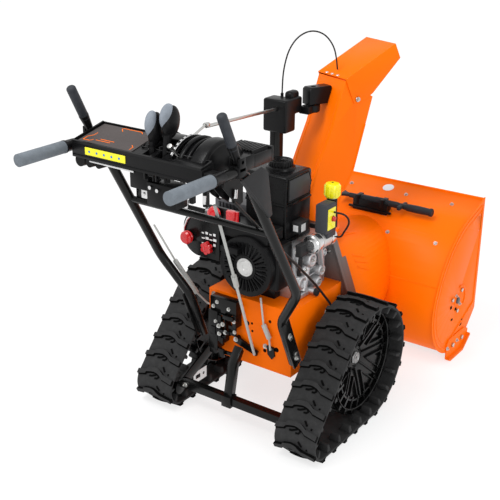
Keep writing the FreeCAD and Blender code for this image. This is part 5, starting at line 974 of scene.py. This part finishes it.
# %% Holes, linkage and bolts
HOLES = [(-8, 322, 8), (10, 326, 4), (12, 300, 4), (78, 352, 5), (60, 246, 6), (104, 262, 8), (120, 330, 5)]
LINKS = [(-129, -71, -171, -139, 337, 343), (-129, -123, -171, -139, 262, 343), (-77, -71, -171, -139, 262, 343),
         (-129, -71, -171, -139, 259, 267), (-116, -86, -176, -168, 246, 338), (-108, -98, -184, -140, 300, 312),
         (-100, -60, -166, -158, 322, 334), (-96, -52, -180, -172, 282, 292), (-122, -104, -182, -170, 268, 296),
         (-92, -78, -176, -139, 240, 262), (-140, -126, -164, -139, 290, 330), (-132, -30, -170, -139, 346, 396),
         (-44, -30, -172, -139, 306, 350), (-134, -98, -178, -139, 216, 350), (-134, -108, -174, -139, 196, 232),
         (-76, -36, -180, -171, 332, 346), (-62, -34, -168, -160, 276, 310), (-92, -70, -184, -176, 196, 226),
         (-100, -40, -172, -164, 204, 216)]
ARM = [(-50, 250), (-41, 272), (41.5, 241), (37.5, 224.5)]
EAR = [(70, 268), (96, 268), (100, 238), (90, 226), (74, 240)]


def facing_back(*places):
    """Bolt places on faces that look to the rear."""
    return [(place, -Y) for place in places]


# Dark discs: painted shade for the inside of the holes.
finish([round_bar((x, -139.5, z), (x, -140.8, z), r, 16) for x, z, r in HOLES], "frame_hole_shades", tread_shade)
links = [pad((x0, y0, z0), (x1, y1, z1), 1.5) for x0, x1, y0, y1, z0, z1 in LINKS]
finish([*links, extruded(ARM, -154.6, -147.4, "Y"), round_bar((-40, -157, 262), (-40, -139.5, 262), 9, 24),
        extruded(EAR, -146, -140, "Y")], "linkage_bracket", black_paint)
bolt_set("linkage_bolts", facing_back((-88, -184, 306), (-72, -184, 316), (-90, -178, 276), (-66, -178, 287)), 9)
bolt_set("bracket_bolts", facing_back((-104, -170, 380), (-119, -170, 362), (-104, -178, 315), (-59, -170, 366),
                                      (-37, -172, 330), (-37, -168, 292)), 8)
frame_bolts = facing_back((-40, -157, 262), (62, -140, 262), (140, -140, 380), (-140, -140, 388))
frame_bolts += [((side * 158, y, z), (side, 0, 0)) for side in (1, -1) for y, z in ((60, 330), (120, 300))]
bolt_set("frame_bolts", frame_bolts, 10)

# %% [markdown]
# ## Track carriage
# A thin bright plate with a slot and a hole stands at the carriage's left. An extruded outline has
# no holes, so it is a block with the two openings cut out. The badge on the housing's slope is
# left bare: a plain turned disc.

# %% Carriage plate, foot and badge
plate = subtract(block((-209.8, -168, 46), (-206.6, -98, 88)), block((-215, -156, 60), (-200, -132, 74)),
                 round_bar((-215, -114, 67), (-200, -114, 67), 5, 16))
finish(soften(plate, 0.6), "slotted_plate", bright_steel, "track_carriage")
bolt_set("carriage_bolts", facing_back((-190, -235, 82), (190, -235, 82)), body="track_carriage")
finish(pad((-36, -242, 62), (0, -206, 100), 2), "leg_foot", black_paint, "track_carriage")
badge = lathed([(0, -0.5), (21, -0.5), (21, 0.8), (20, 1.1), (0, 1.1)], (6, 741, 539.2), (0, -0.31, 0.95), 40)
finish(badge, "plain_badge", badge_white)

# %% [markdown]
# ## Recoil starter
# Behind the engine a moulded cover carries the recoil starter: a fan of air slots round a bright
# disc. Cutting the slots would leave thin walls that bevel badly, so the fins stand on the cover
# instead. One fin and one rib are modelled, and each is copied round the crankshaft's line.

# %% Recoil cover
CRANK = Vector((0, -165, 523))
fin = block(CRANK + Vector((-1.6, -3, 42)), CRANK + Vector((1.6, 0.5, 80)))
shroud_rib = block(CRANK + Vector((-4, 18, 91)), CRANK + Vector((4, 100, 95.6)))
finish([ring(CRANK + Y * 6, Y, 93, 3, 64), ring(CRANK, Y, 38, 2), *all_round(fin, 28, "Y", CRANK, 180 / 28),
        *all_round(shroud_rib, 12, "Y", CRANK, 15)], "recoil_fins", dark_plastic)
disc = lathed([(0, 0), (29, 0), (29, 3), (26, 4), (24, 3), (22, 3), (20, 4.5), (9, 4.5), (8, 3.4), (0, 3.4)],
              CRANK + Y * 0.4, -Y)
finish(disc, "recoil_disc", silver_paint)
finish([pad((-98, -150, 600), (70, -62, 640), 6, 3), pad((40, -140, 455), (104, -60, 600), 8, 3)],
       "engine_shroud", dark_plastic)

# %% [markdown]
# ## Engine castings
# The crankcase is sand-cast alloy with cooling fins, round bosses and ducts. Sculpting could give
# softer forms, but plates and turned shapes on the casting's faces stay measurable. All their edges
# are rounded together, as a mould would round them.

# %% Castings, bolts and covers
CASE_X = 108
BOSSES = [(10, 520, 24, 26), (62, 470, 20, 30), (-30, 455, 22, 18), (40, 438, 17, 34), (88, 520, 14, 22),
          (-28, 500, 12, 24)]
ENGINE_BOLTS = [(108, -48, 560), (108, 110, 560), (108, 110, 440), (108, -50, 430), (134, 10, 520),
                (138, 62, 470), (142, 40, 438), (132, -28, 500)]


def boss(y, z, r, out):
    profile = [(0, -1), (r + 3, -1), (r, out - 3), (r - 3, out), (r * 0.6, out), (r * 0.5, out - 5), (0, out - 5)]
    return lathed(profile, (CASE_X, y, z), X, 28)


casts = [block((CASE_X - 1, -10, 448 + 17 * step), (CASE_X + (17 if step % 2 else 12), 88, 452 + 17 * step))
         for step in range(6)]
casts += [boss(*place) for place in BOSSES]
casts += [pad((CASE_X - 1, -58, 406), (CASE_X + 22, 40, 424), 4),
          tapered((CASE_X + 8, -20, 424), (CASE_X + 6, 6, 500), 15, 11, 20),
          tapered((CASE_X + 20, 70, 470), (CASE_X + 26, 40, 560), 10, 13, 20)]
casts += [block((x - 3, -43, 442), (x, 78, 563)) for x in range(-82, -145, -9)]
finish(soften(join(casts), 1.2, 1), "engine_castings", cast_alloy)
bolt_set("engine_bolts", [(place, X) for place in ENGINE_BOLTS], 8)
finish([pad((106, -52, 545), (128, -8, 585), 3), pad((66, -16, 604), (100, 40, 642), 4),
        round_bar((150, 2, 421), (160, 2, 421), 12, 24), tapered((108, -30, 470), (126, -50, 545), 8, 7, 16)],
       "engine_covers", soft_plastic)
finish([pad((74.5, -16.8, 612), (92.5, -15.8, 632), 0.3, 1), block((99.5, -10, 612), (100.8, 14, 636))],
       "blank_label", label_white)

# %% [markdown]
# ## Fuel tank
# The moulded tank meets the cowl below it in a flange. It has a ribbed cap and a raised edge round
# its side panel. The flange and the cowl's foot are flat boxes a little larger than the cowl, which
# shows their edges without any change to the CAD part.

# %% Tank and cap
TANK_LOW, TANK_HIGH = cad_box("engine_cowl")
TANK_CAP = Vector((-6, 30, 790))
PANEL = [(-34, 712), (74, 712), (86, 748), (72, 779), (-34, 777)]
PANEL_EDGE = [(-38, 708), (76, 708), (89, 748), (74, 783), (-38, 781), (-38, 708)]
finish(soften(extruded(PANEL, TANK_HIGH.x - 1, TANK_HIGH.x + 4), 3), "tank_panel", panel_grey)
edge = mapped(bar_along(PANEL_EDGE, 5, -1, 3.4, 1.4), on_plane((TANK_HIGH.x, 0, 0), Y, Z))
bands = [pad((TANK_LOW.x - 2.5, TANK_LOW.y - 2.5, low), (TANK_HIGH.x + 2.5, TANK_HIGH.y + 2.5, high), 2)
         for low, high in ((TANK_HIGH.z - 5, TANK_HIGH.z + 4), (TANK_LOW.z + 1, TANK_LOW.z + 14))]
corner = Vector((TANK_HIGH.x - 3, TANK_LOW.y + 3, 0))
post = round_bar(corner + Z * (TANK_LOW.z + 4), corner + Z * (TANK_CAP.z - 14), 5, 16)
neck = lathed([(39, -1), (47, -1), (45, 6), (39, 9)], TANK_CAP, Z)
finish([edge, *bands, neck, post], "tank_rim", tank_plastic)
rib = block(TANK_CAP + Vector((35.5, -2, 2)), TANK_CAP + Vector((38.5, 2, 23)))
lid = lathed([(0, 24.6), (24, 24.6), (26, 26.6), (33, 26.6), (36, 24.4), (0, 24)], TANK_CAP, Z)
finish([*all_round(rib, 24, "Z", TANK_CAP), lid], "fuel_cap_ribs", tank_plastic, "fuel_lid")

# %% [markdown]
# ## Electric starter and oil filler
# The starter is a drawn steel can with turned ends, so one profile gives it. Its switch box is a
# moulded block with a round socket, behind a bare yellow plate. The oil filler's cap is turned too,
# and twelve ribs give a glove something to hold.

# %% Starter, switch and oil filler
STARTER = Vector((141, -24, 582))
OIL = Vector((129, 119, 0))
can = lathed([(0, 0), (16, 0), (17, 3), (26, 4), (29, 8), (29, 30), (26, 34), (26, 96), (28, 98), (28, 116),
              (22, 124), (0, 124)], STARTER, Y)
finish(can, "starter_body", bright_steel, replaces=["starter_motor"])
finish([lathed([(29, 10), (30.5, 10), (30.5, 17), (29, 17)], STARTER, Y),
        lathed([(26, 44), (27.2, 44), (27.2, 88), (26, 88)], STARTER, Y), block((108, -18, 560), (135, 68, 574))],
       "starter_bands", silver_paint)
switch = subtract(block((133, 15, 610.5), (173, 72, 702)), round_bar((150, 53.76, 654), (180, 53.76, 654), 9.6))
roof = pad((136, 18, 700), (170, 69, 704.5), 2)
foot = pad((128, 30, 592), (171, 80, 625), 4)
finish([soften(switch, 3, 2, 50), roof, foot], "switch_box", box_grey)
patch = subtract(block((172.6, 24, 622), (173.8, 68, 690)), round_bar((170, 53.76, 654), (180, 53.76, 654), 9.5))
finish(patch, "switch_plate", yellow_plastic)
finish(lathed([(14.4, 600), (20, 600), (20, 640), (17, 650), (17, 694), (14.4, 694)], OIL, Z, 32), "oil_neck",
       dark_plastic)
cap = lathed([(14.6, 698), (22, 698), (25, 706), (25, 736), (21, 742), (8, 744.6), (0, 744.6)], OIL, Z, 40)
rib = block(OIL + Vector((24, -2.4, 704)), OIL + Vector((26.4, 2.4, 736)))
finish([cap, *all_round(rib, 12, "Z", OIL)], "oil_cap_ribbed", yellow_plastic, "oil_lid", ["oil_cap"])

# %% [markdown]
# ## Engine controls
# The choke is a turned dial, the throttle a star knob and the primer a soft dome. Turning a
# profile and copying a lobe round give them all. Where there was printing there are bare bars.

# %% Panel marks and knobs
TRIM = [(-240, 574), (-238, 600), (-226, 628), (-204, 650), (-176, 664), (-142, 676), (-112, 690)]


def at_panel(x, z, out=0.0):
    return Vector((x, -160 - out, z))


marks = [block(at_panel(-170 + 15 * column, 560 + 17 * row, 0.6),
               at_panel(-161 + 15 * column + 3 * (row % 2), 564 + 17 * row + 4 * (column % 2), -0.4))
         for column in range(4) for row in range(3)]
finish(marks, "panel_marks", label_white)
dial = lathed([(0, 2), (9, 2), (19, 5), (21, 10), (19, 14), (13, 15), (19, 16), (21, 21), (17, 26), (0, 27)],
              at_panel(-219, 573), -Y, 40)
finish(dial, "choke_dial", red_plastic, "choke", ["choke_knob"])
lobe = round_bar(at_panel(-144, 566, 3), at_panel(-144, 566, 17), 7.5, 20)
star = [round_bar(at_panel(-144, 552.7, 1), at_panel(-144, 552.7, 12), 12),
        *all_round(lobe, 6, "Y", at_panel(-144, 552.7)), ball(at_panel(-144, 552.7, 14), (11, 6.6, 11), 24)]
finish(soften(join(star), 1, 1, 50), "throttle_star", red_plastic, "throttle", ["throttle_knob"])
bulb = lathed([(0, 4.4), (23, 4.4), (24, 7), (22, 10), (21, 17), (15, 23), (7, 25), (0, 25.4)],
              at_panel(-114, 672), -Y, 40)
finish(bulb, "primer_dome", red_plastic, "primer", ["primer_bulb"])
trim = mapped(bar_along(TRIM, 7, -2, 5, 2), on_plane(at_panel(0, 0), X, Z))
finish(trim, "panel_trim", bright_steel)

# %% [markdown]
# ## Muffler guard and belt cover
# The guard is a steel cage, upright bars along two sides of the muffler. The belt cover has a
# raised rim: a bar along its outline, which follows every corner without a boolean.

# %% Guard bars, cover rim and bolts
COVER_RIM = [(-97, 578), (95, 578), (123, 525), (189, 354), (189, 333), (153, 333), (153, 210)]
low, high = cad_box("muffler")
foot_z = low.z + 34
bars = [pad((low.x - 3, y, foot_z), (low.x + 20, y + 6, high.z - 4), 1.5, 1)
        for y in (low.y + 6 + 13 * step for step in range(5))]
bars += [block((x, low.y - 3, foot_z), (x + 7, low.y + 4, high.z - 8))
         for x in (low.x + 12 + 14 * step for step in range(6))]
finish(bars, "muffler_guard", dark_steel)
rim = mapped(bar_along(COVER_RIM, 6, -7, 3, 1.5), on_plane((0, 150, 0), X, Z))
finish(rim, "belt_cover_rim", cover_grey)
bolt_set("cover_bolts", facing_back((166, 150, 352), (106, 150, 500), (70, 150, 556), (130, 150, 250),
                                    (-80, 150, 556), (-80, 150, 250)), 9)

# %% [markdown]
# ## Dash
# The operator looks down on a moulded tray with a raised rim. Rim, mat and marks are bars and a
# plate on one flat sheet, which is then laid on the dash's slope, so that none of them needs the
# slope's sums. Where there was printing there are only bare shapes.

# %% Dash tray
dash_top = on_plane((-225, -632, 983), X, (0, 1, 0.22))
INK = [[(22, 22), (22, 40), (34, 52), (34, 66)], [(22, 22), (44, 22), (52, 30)],
       [(96, 96), (84, 108), (84, 112), (150, 112), (158, 104)], [(60, 30), (110, 30)], [(70, 38), (118, 38)],
       [(186, 20), (186, 34), (176, 42)]]
tray_rim = mapped(bar_along([(3, 123), (3, 3), (432, 3), (432, 40)], 6, -4, 6, 2), dash_top)
front_rim = mapped(bar_along([(3, 123), (206, 123), (206, 46), (430, 46)], 4, -3, 4, 1.5), dash_top)
lumps = [round_bar((x, -624, 934), (x, -530, 930), size, 24) for x, size in ((-206, 17), (-172, 14), (-140, 12))]
hull = extruded([(-214, 948), (-60, 948), (-96, 922), (-128, 934), (-150, 918), (-200, 926)], -600, -588, "Y")
skirt = pad((-224, -633.5, 944), (209, -628, 952), 1.5)
finish([tray_rim, front_rim, skirt, *lumps, hull], "dash_rim", dark_plastic)
mat = extruded([(12, 10), (198, 10), (198, 116), (12, 116)], 0.2, 1.4, "Z")
finish(mapped(mat, dash_top), "dash_mat", mat_brown)
finish([mapped(bar_along(line, 2.2, 1, 1.9), dash_top) for line in INK], "dash_marks", orange_ink)
finish(pad((-176, -634.2, 957), (-36, -631.6, 977), 0.6, 1), "dash_strip", strip_yellow)
icons = [round_bar((x, -634.6, 967), (x, -633.8, 967), 3.2, 20) for x in range(-160, -55, 26)]
finish(icons, "strip_marks", icon_blue)
links = [round_bar((-170, -622, 938), (-20, -618, 936), 4, 16),
         round_bar((60, -575, 930), (100, -575, 928), 4, 16)]
finish(links, "dash_links", bright_steel)

# %% [markdown]
# ## Console
# The speed lever's console is part of a barrel, with rounded humps between its slots. A hump is a
# bar on a sheet, and the sheet is bent over the barrel. Its edges are rounded while it is still
# flat, where the bevel meets straight edges only.

# %% Console humps and slot
BARREL = Vector((0, -520, 930))
BARREL_R = 90


def on_barrel(a, b, h):
    """Sheet to console: a is x, b is the turn over the barrel from rear to front, as a length on it."""
    turn = b / BARREL_R
    return BARREL + Vector((a, (BARREL_R + h) * math.sin(turn), (BARREL_R + h) * math.cos(turn)))


def over(x, turns):
    """A line over the barrel at one x."""
    return [(x, BARREL_R * math.radians(turn)) for turn in turns]


def hump(x, width, high, first=-66, last=60, round_edge=4):
    line = over(x, [first + (last - first) * step / 14 for step in range(15)])
    return mapped(soften(bar_along(line, width, -8, high), round_edge, 3, 50), on_barrel)


humps = [hump(-0.5, 19, 5), hump(82, 12, 7), hump(113, 13, 9), hump(133, 9, 6), hump(167, 46, 11, -72, 64, 8)]
finish([*humps, pad((130, -606, 946), (206, -588, 984), 5, 3)], "console_humps", dark_plastic)
ticks = [bar_along(over(83, (turn, turn + 4)), 4, 6.5, 7.8) for turn in range(-50, 36, 9)]
ticks.append(bar_along(over(87, range(-52, 36, 8)), 1.2, 6.5, 7.8))
finish(mapped(join(ticks), on_barrel), "speed_scale", label_white)
finish([pad((x, -590, 992), (x + 4, -470, 1004), 1, 1) for x in (1, 39, 77)], "slot_lips", soft_plastic)

# %% [markdown]
# ## Sticks
# Two sticks turn the chute and tilt its deflector. Each is a moulded handle with a softer pad that
# faces the operator: a bar, a cone and two flattened balls. They are modelled upright and then
# leaned about the pivot, because upright they need no sums.

# %% Stick levers
def stick_lever(name, x, length, lean, node, depth):
    base = Vector((x, -600, 930))
    top = base + Z * length
    core = [round_bar(base, base + Z * 78, 8, 24), tapered(base + Z * 72, top - Z * 62, 8, 14, 24),
            ball(top - Vector((-2, -5, 46)), (15.5, depth, 42)), round_bar(base - X * 17, base + X * 17, 5, 20)]
    grip = ball(top - Vector((2, 6, 34)), (15.5, depth - 5, 33.5), 40)
    finish(turned(join(core), -lean, "X", base), name + "_core", dark_plastic, name, [node])
    finish(turned(grip, -lean, "X", base), name + "_pad", pad_grey, name)


stick_lever("chute_stick", 20, 164, 7, "chute_lever", 25)
stick_lever("deflector_stick", 58, 186, 12.5, "deflector_lever", 30)

# %% [markdown]
# ## Rear end of the chute's rod
# The rod that turns the chute has to end in something. What is there can't be seen, so this is a
# plain guess: a joint that rides on the rod, and a short shaft in a bush on the chassis.

# %% Knuckle, shaft and bush
ROD_TAIL = Vector((0, -348, 1004.6))
ROD_RUN = Vector((-109, 507, -70)).normalized()
knuckle = soften(round_bar(ROD_TAIL - ROD_RUN * 9, ROD_TAIL + ROD_RUN * 13, 6.6, 28), 1)
finish([knuckle, round_bar(ROD_TAIL - X * 7.6, ROD_TAIL + X * 7.6, 2.2, 16)], "rod_knuckle", zinc, "chute_shaft")
finish(round_bar(ROD_TAIL - ROD_RUN * 4, (2, -432, 978), 3.6, 24), "rod_tail_shaft", zinc)
finish(pad((-12, -452, 966), (16, -424, 992), 4, 3), "rod_tail_bush", soft_plastic)

# %% [markdown]
# ## Clutch paddles and grips
# A paddle stands over each grip on a cone that turns in a moulded mount. Only the right side is
# modelled, and the left is its mirror image, so that the two can't differ.

# %% Paddle bases, mounts and collars
HANDLE_X, HANDLE_Z = 246, 967
LEVER = Vector((HANDLE_X, -540, 992))
LEVER_RUN = Vector((0, math.cos(math.radians(116.7)), math.sin(math.radians(116.7))))
paddle = [tapered(LEVER + LEVER_RUN * 8, LEVER + LEVER_RUN * 50, 10, 13.8),
          round_bar(LEVER - X * 8, LEVER + X * 8, 9.4)]
both_sides(paddle, "paddle_base", dark_plastic, ("clutch_right", "clutch_left"))
cheeks = [pad((HANDLE_X + x, -553, HANDLE_Z), (HANDLE_X + x + 5, -527, 1003), 2) for x in (-17, 12)]
seat = pad((HANDLE_X - 17, -556, HANDLE_Z - 16), (HANDLE_X + 17, -522, HANDLE_Z + 13.5), 4)
both_sides([seat, *cheeks], "lever_mount", dark_plastic)
collar = lathed([(14.6, 0), (17.6, 0), (17.6, 6), (15.8, 9), (15.4, 40), (14.6, 44)],
                (HANDLE_X, -643, HANDLE_Z), Y, 32)
both_sides(collar, "grip_collar", dark_plastic)

# %% [markdown]
# ## Headlight and side guard
# The lamp is a box with a moulded bezel and three turned reflectors. The guard beside the dash is
# one flat shape with a folded lower edge. Its outline is extruded afresh, so that its edges can be
# rounded and the fold joined to it.

# %% Bezel, reflectors and guard
LIGHT_LOW, LIGHT_HIGH = cad_box("headlight")
GUARD_LOW, GUARD_HIGH = cad_box("side_cover")
GUARD = [(-547, 948), (-464, 963), (-436, 943), (-414, 823), (-427, 818), (-474, 872)]
front = LIGHT_HIGH.y
bezel = block((LIGHT_LOW.x, front - 6, LIGHT_LOW.z), (LIGHT_HIGH.x, front + 6, LIGHT_HIGH.z - 4))
opening = block((LIGHT_LOW.x + 6, front, LIGHT_LOW.z + 5), (LIGHT_HIGH.x - 6, front + 9, LIGHT_HIGH.z - 9))
finish(soften(subtract(bezel, opening), 1.5), "light_bezel", dark_plastic)
finish([lathed([(0, 0), (12, 0), (12, 3), (10, 2), (5, 0.8), (0, 0.6)],
               (LIGHT_LOW.x + 19 + 28 * step, front + 0.5, LIGHT_LOW.z + 18), Y, 32) for step in range(3)],
       "light_reflectors", bright_steel)
lip = bar_along([(-547, 948), (-474, 872), (-427, 818)], 5, -9, 0.4, 1)
lip = mapped(lip, on_plane((GUARD_HIGH.x, 0, 0), Y, Z))
guard = soften(extruded(GUARD, GUARD_LOW.x, GUARD_HIGH.x), 1.2)
finish([guard, lip], "guard_shell", soft_plastic, replaces=["side_cover"])

# %% [markdown]
# ## Brackets below the dash
# Ribbed brackets carry the dash on the handlebars, and bright pins stand in them. They stand in the
# dash's shade, so simple blocks and cheek plates with slightly rounded edges are enough.

# %% Brackets and pins
CHEEK = [(-470, 912), (-396, 912), (-388, 872), (-388, 826), (-402, 822), (-438, 848), (-476, 888)]
RIB = [(-404, 790), (-388, 790), (-388, 850), (-404, 836)]
PINS = [(-24, -409, 790, 6), (40, -411, 815, 5), (98, -411, 846, 6), (130, -411, 842, 5), (160, -431, 862, 5)]
under = [pad((0, -597, 846), (94, -546, 908), 3), pad((-128, -400, 770), (28, -390, 782), 2),
         pad((-60, -594, 880), (4, -548, 936), 3)]
under += [soften(extruded(CHEEK, x, x + 4), 0.8, 1) for x in (84, 112, 150)]
under += [soften(extruded(RIB, x, x + 14), 1.5, 1) for x in (-96, -58, -20, 28)]
under.append(pad((84, -402, 826), (154, -392, 858), 1, 1))
finish(under, "dash_brackets", dark_plastic)
pins = [round_bar((x, y, z - 12), (x, y + 2, z + 12), size, 18) for x, y, z, size in PINS]
pins += [round_bar((x, -604, z), (x, -594, z), 5, 18) for x, z in ((16, 896), (40, 892), (74, 872))]
finish(pins, "bracket_pins", bright_steel)

# %% [markdown]
# ## Handlebar feet
# Each handlebar ends in a flattened foot on the frame. A turned block would do, but a flat bar laid
# along the line from its upper to its lower end needs no angle. Two bolts go through it, and two
# more through the clamp above.

# %% Straps, bolts and the stay's clevis
FOOT_TOP = Vector((172.6, -222, 410))
FOOT_END = Vector((172.6, -150, 245))
foot_line = FOOT_END - FOOT_TOP
strap = mapped(bar_along([(-4, 0), (foot_line.length + 4, 0)], 40, 11, 18),
               on_plane(FOOT_TOP, foot_line, X.cross(foot_line)))
both_sides(soften(strap, 2), "foot_strap", black_paint)
bar_bolts = []
for side in (-1, 1):
    for share in (0.3, 0.85):
        centre = FOOT_TOP + foot_line * share
        bar_bolts.append(((side * (centre.x + 17.5), centre.y, centre.z), (side, 0, 0)))
    bar_bolts += [((side * 250, y, z), (0, -1, 0.4)) for y, z in ((-330, 648), (-296, 582))]
bolt_set("handlebar_bolts", bar_bolts, 11)
finish([pad((-182, -418, 778), (-160, -398, 806), 2), round_bar((-171, -424, 792), (-171, -392, 792), 5, 20)],
       "stay_clevis", bright_steel)

# %% [markdown]
# ## Cables
# Three cables leave the object at one place and go back into it at another. Their lines are smooth
# splines with the corners of the real routes as control points. Two lie taut on the chassis. The
# chute's cable is a loose arch between two bodies, and it becomes a mesh.

# %% Routes of the cables
STEER = [(0.204, -0.499, 0.868), (0.196, -0.410, 0.792), (0.194, -0.328, 0.718), (0.192, -0.245, 0.644),
         (0.193, -0.165, 0.572), (0.191, -0.085, 0.500), (0.188, -0.012, 0.428), (0.185, 0.047, 0.366),
         (0.180, 0.084, 0.312), (0.174, 0.096, 0.276), (0.158, 0.096, 0.276)]
STARTER_CORD = [(0.173, 0.058, 0.674), (0.188, 0.058, 0.674), (0.204, 0.066, 0.671), (0.213, 0.077, 0.658),
                (0.213, 0.086, 0.640), (0.205, 0.090, 0.622), (0.194, 0.090, 0.604), (0.183, 0.090, 0.582),
                (0.167, 0.090, 0.582)]
CHUTE_CABLE = [(-0.125, 0.208, 0.965), (-0.125, 0.208, 1.015), (-0.122, 0.214, 1.066), (-0.114, 0.228, 1.116),
               (-0.097, 0.254, 1.154), (-0.073, 0.292, 1.170), (-0.048, 0.332, 1.156), (-0.032, 0.362, 1.118),
               (-0.026, 0.376, 1.076), (-0.024, 0.381, 1.036)]
print("corners of the routes", len(STEER), len(STARTER_CORD), len(CHUTE_CABLE))


# %% Cables that both ends hold
def cable_line(name, places):
    """An open smooth line with the corners of a route, in metres, as its control points."""
    curve = bpy.data.curves.new(name, "CURVE")
    curve.dimensions = "3D"
    spline = curve.splines.new("NURBS")
    spline.points.add(len(places) - 1)
    for point, place in zip(spline.points, places):
        point.co = (*place, 1)
    spline.order_u = 3
    spline.use_endpoint_u = True
    spline.resolution_u = 12
    obj = bpy.data.objects.new(name, curve)
    bpy.context.scene.collection.objects.link(obj)
    return obj


def cable_skin(obj, radius):
    """Give a line its round section and its material."""
    obj.data.bevel_depth = radius
    obj.data.bevel_resolution = 4
    obj.data.use_fill_caps = True
    obj.data.materials.append(cable_sheath)
    return obj


def held_cable(name, places, radius, node):
    """A cable that rides on the chassis and goes back into the object."""
    obj = cable_skin(cable_line(name, places), radius)
    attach(obj, "chassis")
    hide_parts(node)


held_cable("steering_cable", STEER, 0.004, "steer_cable")
held_cable("switch_cord", STARTER_CORD, 0.003, "starter_cord")
chute_cable = cable_line("chute_cable", CHUTE_CABLE)
chute_path = [tuple(vertex.co) for vertex in bpy.data.meshes.new_from_object(chute_cable).vertices]
pick(cable_skin(chute_cable, 0.0025))
bpy.ops.object.convert(target="MESH")
chute_cable = bpy.context.object
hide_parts("deflector_cable")
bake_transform(chute_cable)
print("chute cable blends over", len(chute_path), "places")

# %% [markdown]
# ## Studio
# A pale floor under a white sky gives the soft shadow of a product picture. One large lamp from
# above gives direction, and a second one fills the side that faces the camera.

# %% Floor and sky
clear()
bpy.ops.mesh.primitive_plane_add(size=60, location=(0, 0, -0.0005))
floor = bpy.context.object
floor.name = "floor"
paper = Finish("paper")
paper.set(Base_Color=paper.mixed(paper.noise(0.6, 2), (0.28, 0.28, 0.28), (0.3, 0.3, 0.3)), Roughness=0.9,
          Emission_Color=(1, 1, 1, 1), Emission_Strength=0.72)
floor.data.materials.append(paper.material)

world = bpy.data.worlds.new("studio")
bpy.context.scene.world = world
world.use_nodes = True
sky = world.node_tree.nodes["Background"]
sky.inputs["Color"].default_value = (1, 1, 1, 1)
rays = world.node_tree.nodes.new("ShaderNodeLightPath")
level = world.node_tree.nodes.new("ShaderNodeMapRange")
level.inputs["To Min"].default_value = 0.92
level.inputs["To Max"].default_value = 1.1
world.node_tree.links.new(rays.outputs["Is Camera Ray"], level.inputs["Value"])
world.node_tree.links.new(level.outputs["Result"], sky.inputs["Strength"])
bpy.context.scene.view_settings.view_transform = "Standard"
print("floor size", floor.dimensions.x, "sky", world.name)


# %% Lamps and camera
def lamp(name, place, size, power):
    """An area lamp that looks at the machine's middle."""
    light = bpy.data.lights.new(name, "AREA")
    light.size = size
    light.energy = power
    obj = bpy.data.objects.new(name, light)
    obj.location = place
    obj.rotation_euler = (Vector((0, 0.1, 0.4)) - obj.location).to_track_quat("-Z", "Y").to_euler()
    bpy.context.scene.collection.objects.link(obj)


lamp("key_lamp", (-0.6, -2.2, 4.4), 1.6, 110)
lamp("fill_lamp", (4.2, -1.6, 2.0), 2.0, 45)

CAMERA_PLACE = Vector((1.5669, -2.3364, 1.6614))
YAW, PITCH, ROLL = math.radians(35.5), math.radians(-22.0), math.radians(0.4)
FOCAL_LENGTH = 68.92
ahead = Vector((-math.sin(YAW) * math.cos(PITCH), math.cos(YAW) * math.cos(PITCH), math.sin(PITCH)))
across = Vector((math.cos(YAW), math.sin(YAW), 0))
upward = across.cross(ahead)
right = across * math.cos(ROLL) + upward * math.sin(ROLL)
top = upward * math.cos(ROLL) - across * math.sin(ROLL)
lens = bpy.data.cameras.new("camera")
lens.lens = FOCAL_LENGTH
lens.sensor_width = 36
camera = bpy.data.objects.new("camera", lens)
camera.matrix_world = Matrix.Translation(CAMERA_PLACE) @ Matrix((right, top, -ahead)).transposed().to_4x4()
bpy.context.scene.collection.objects.link(camera)
bpy.context.scene.camera = camera
print("camera", [round(c, 2) for c in CAMERA_PLACE], "lens", FOCAL_LENGTH)
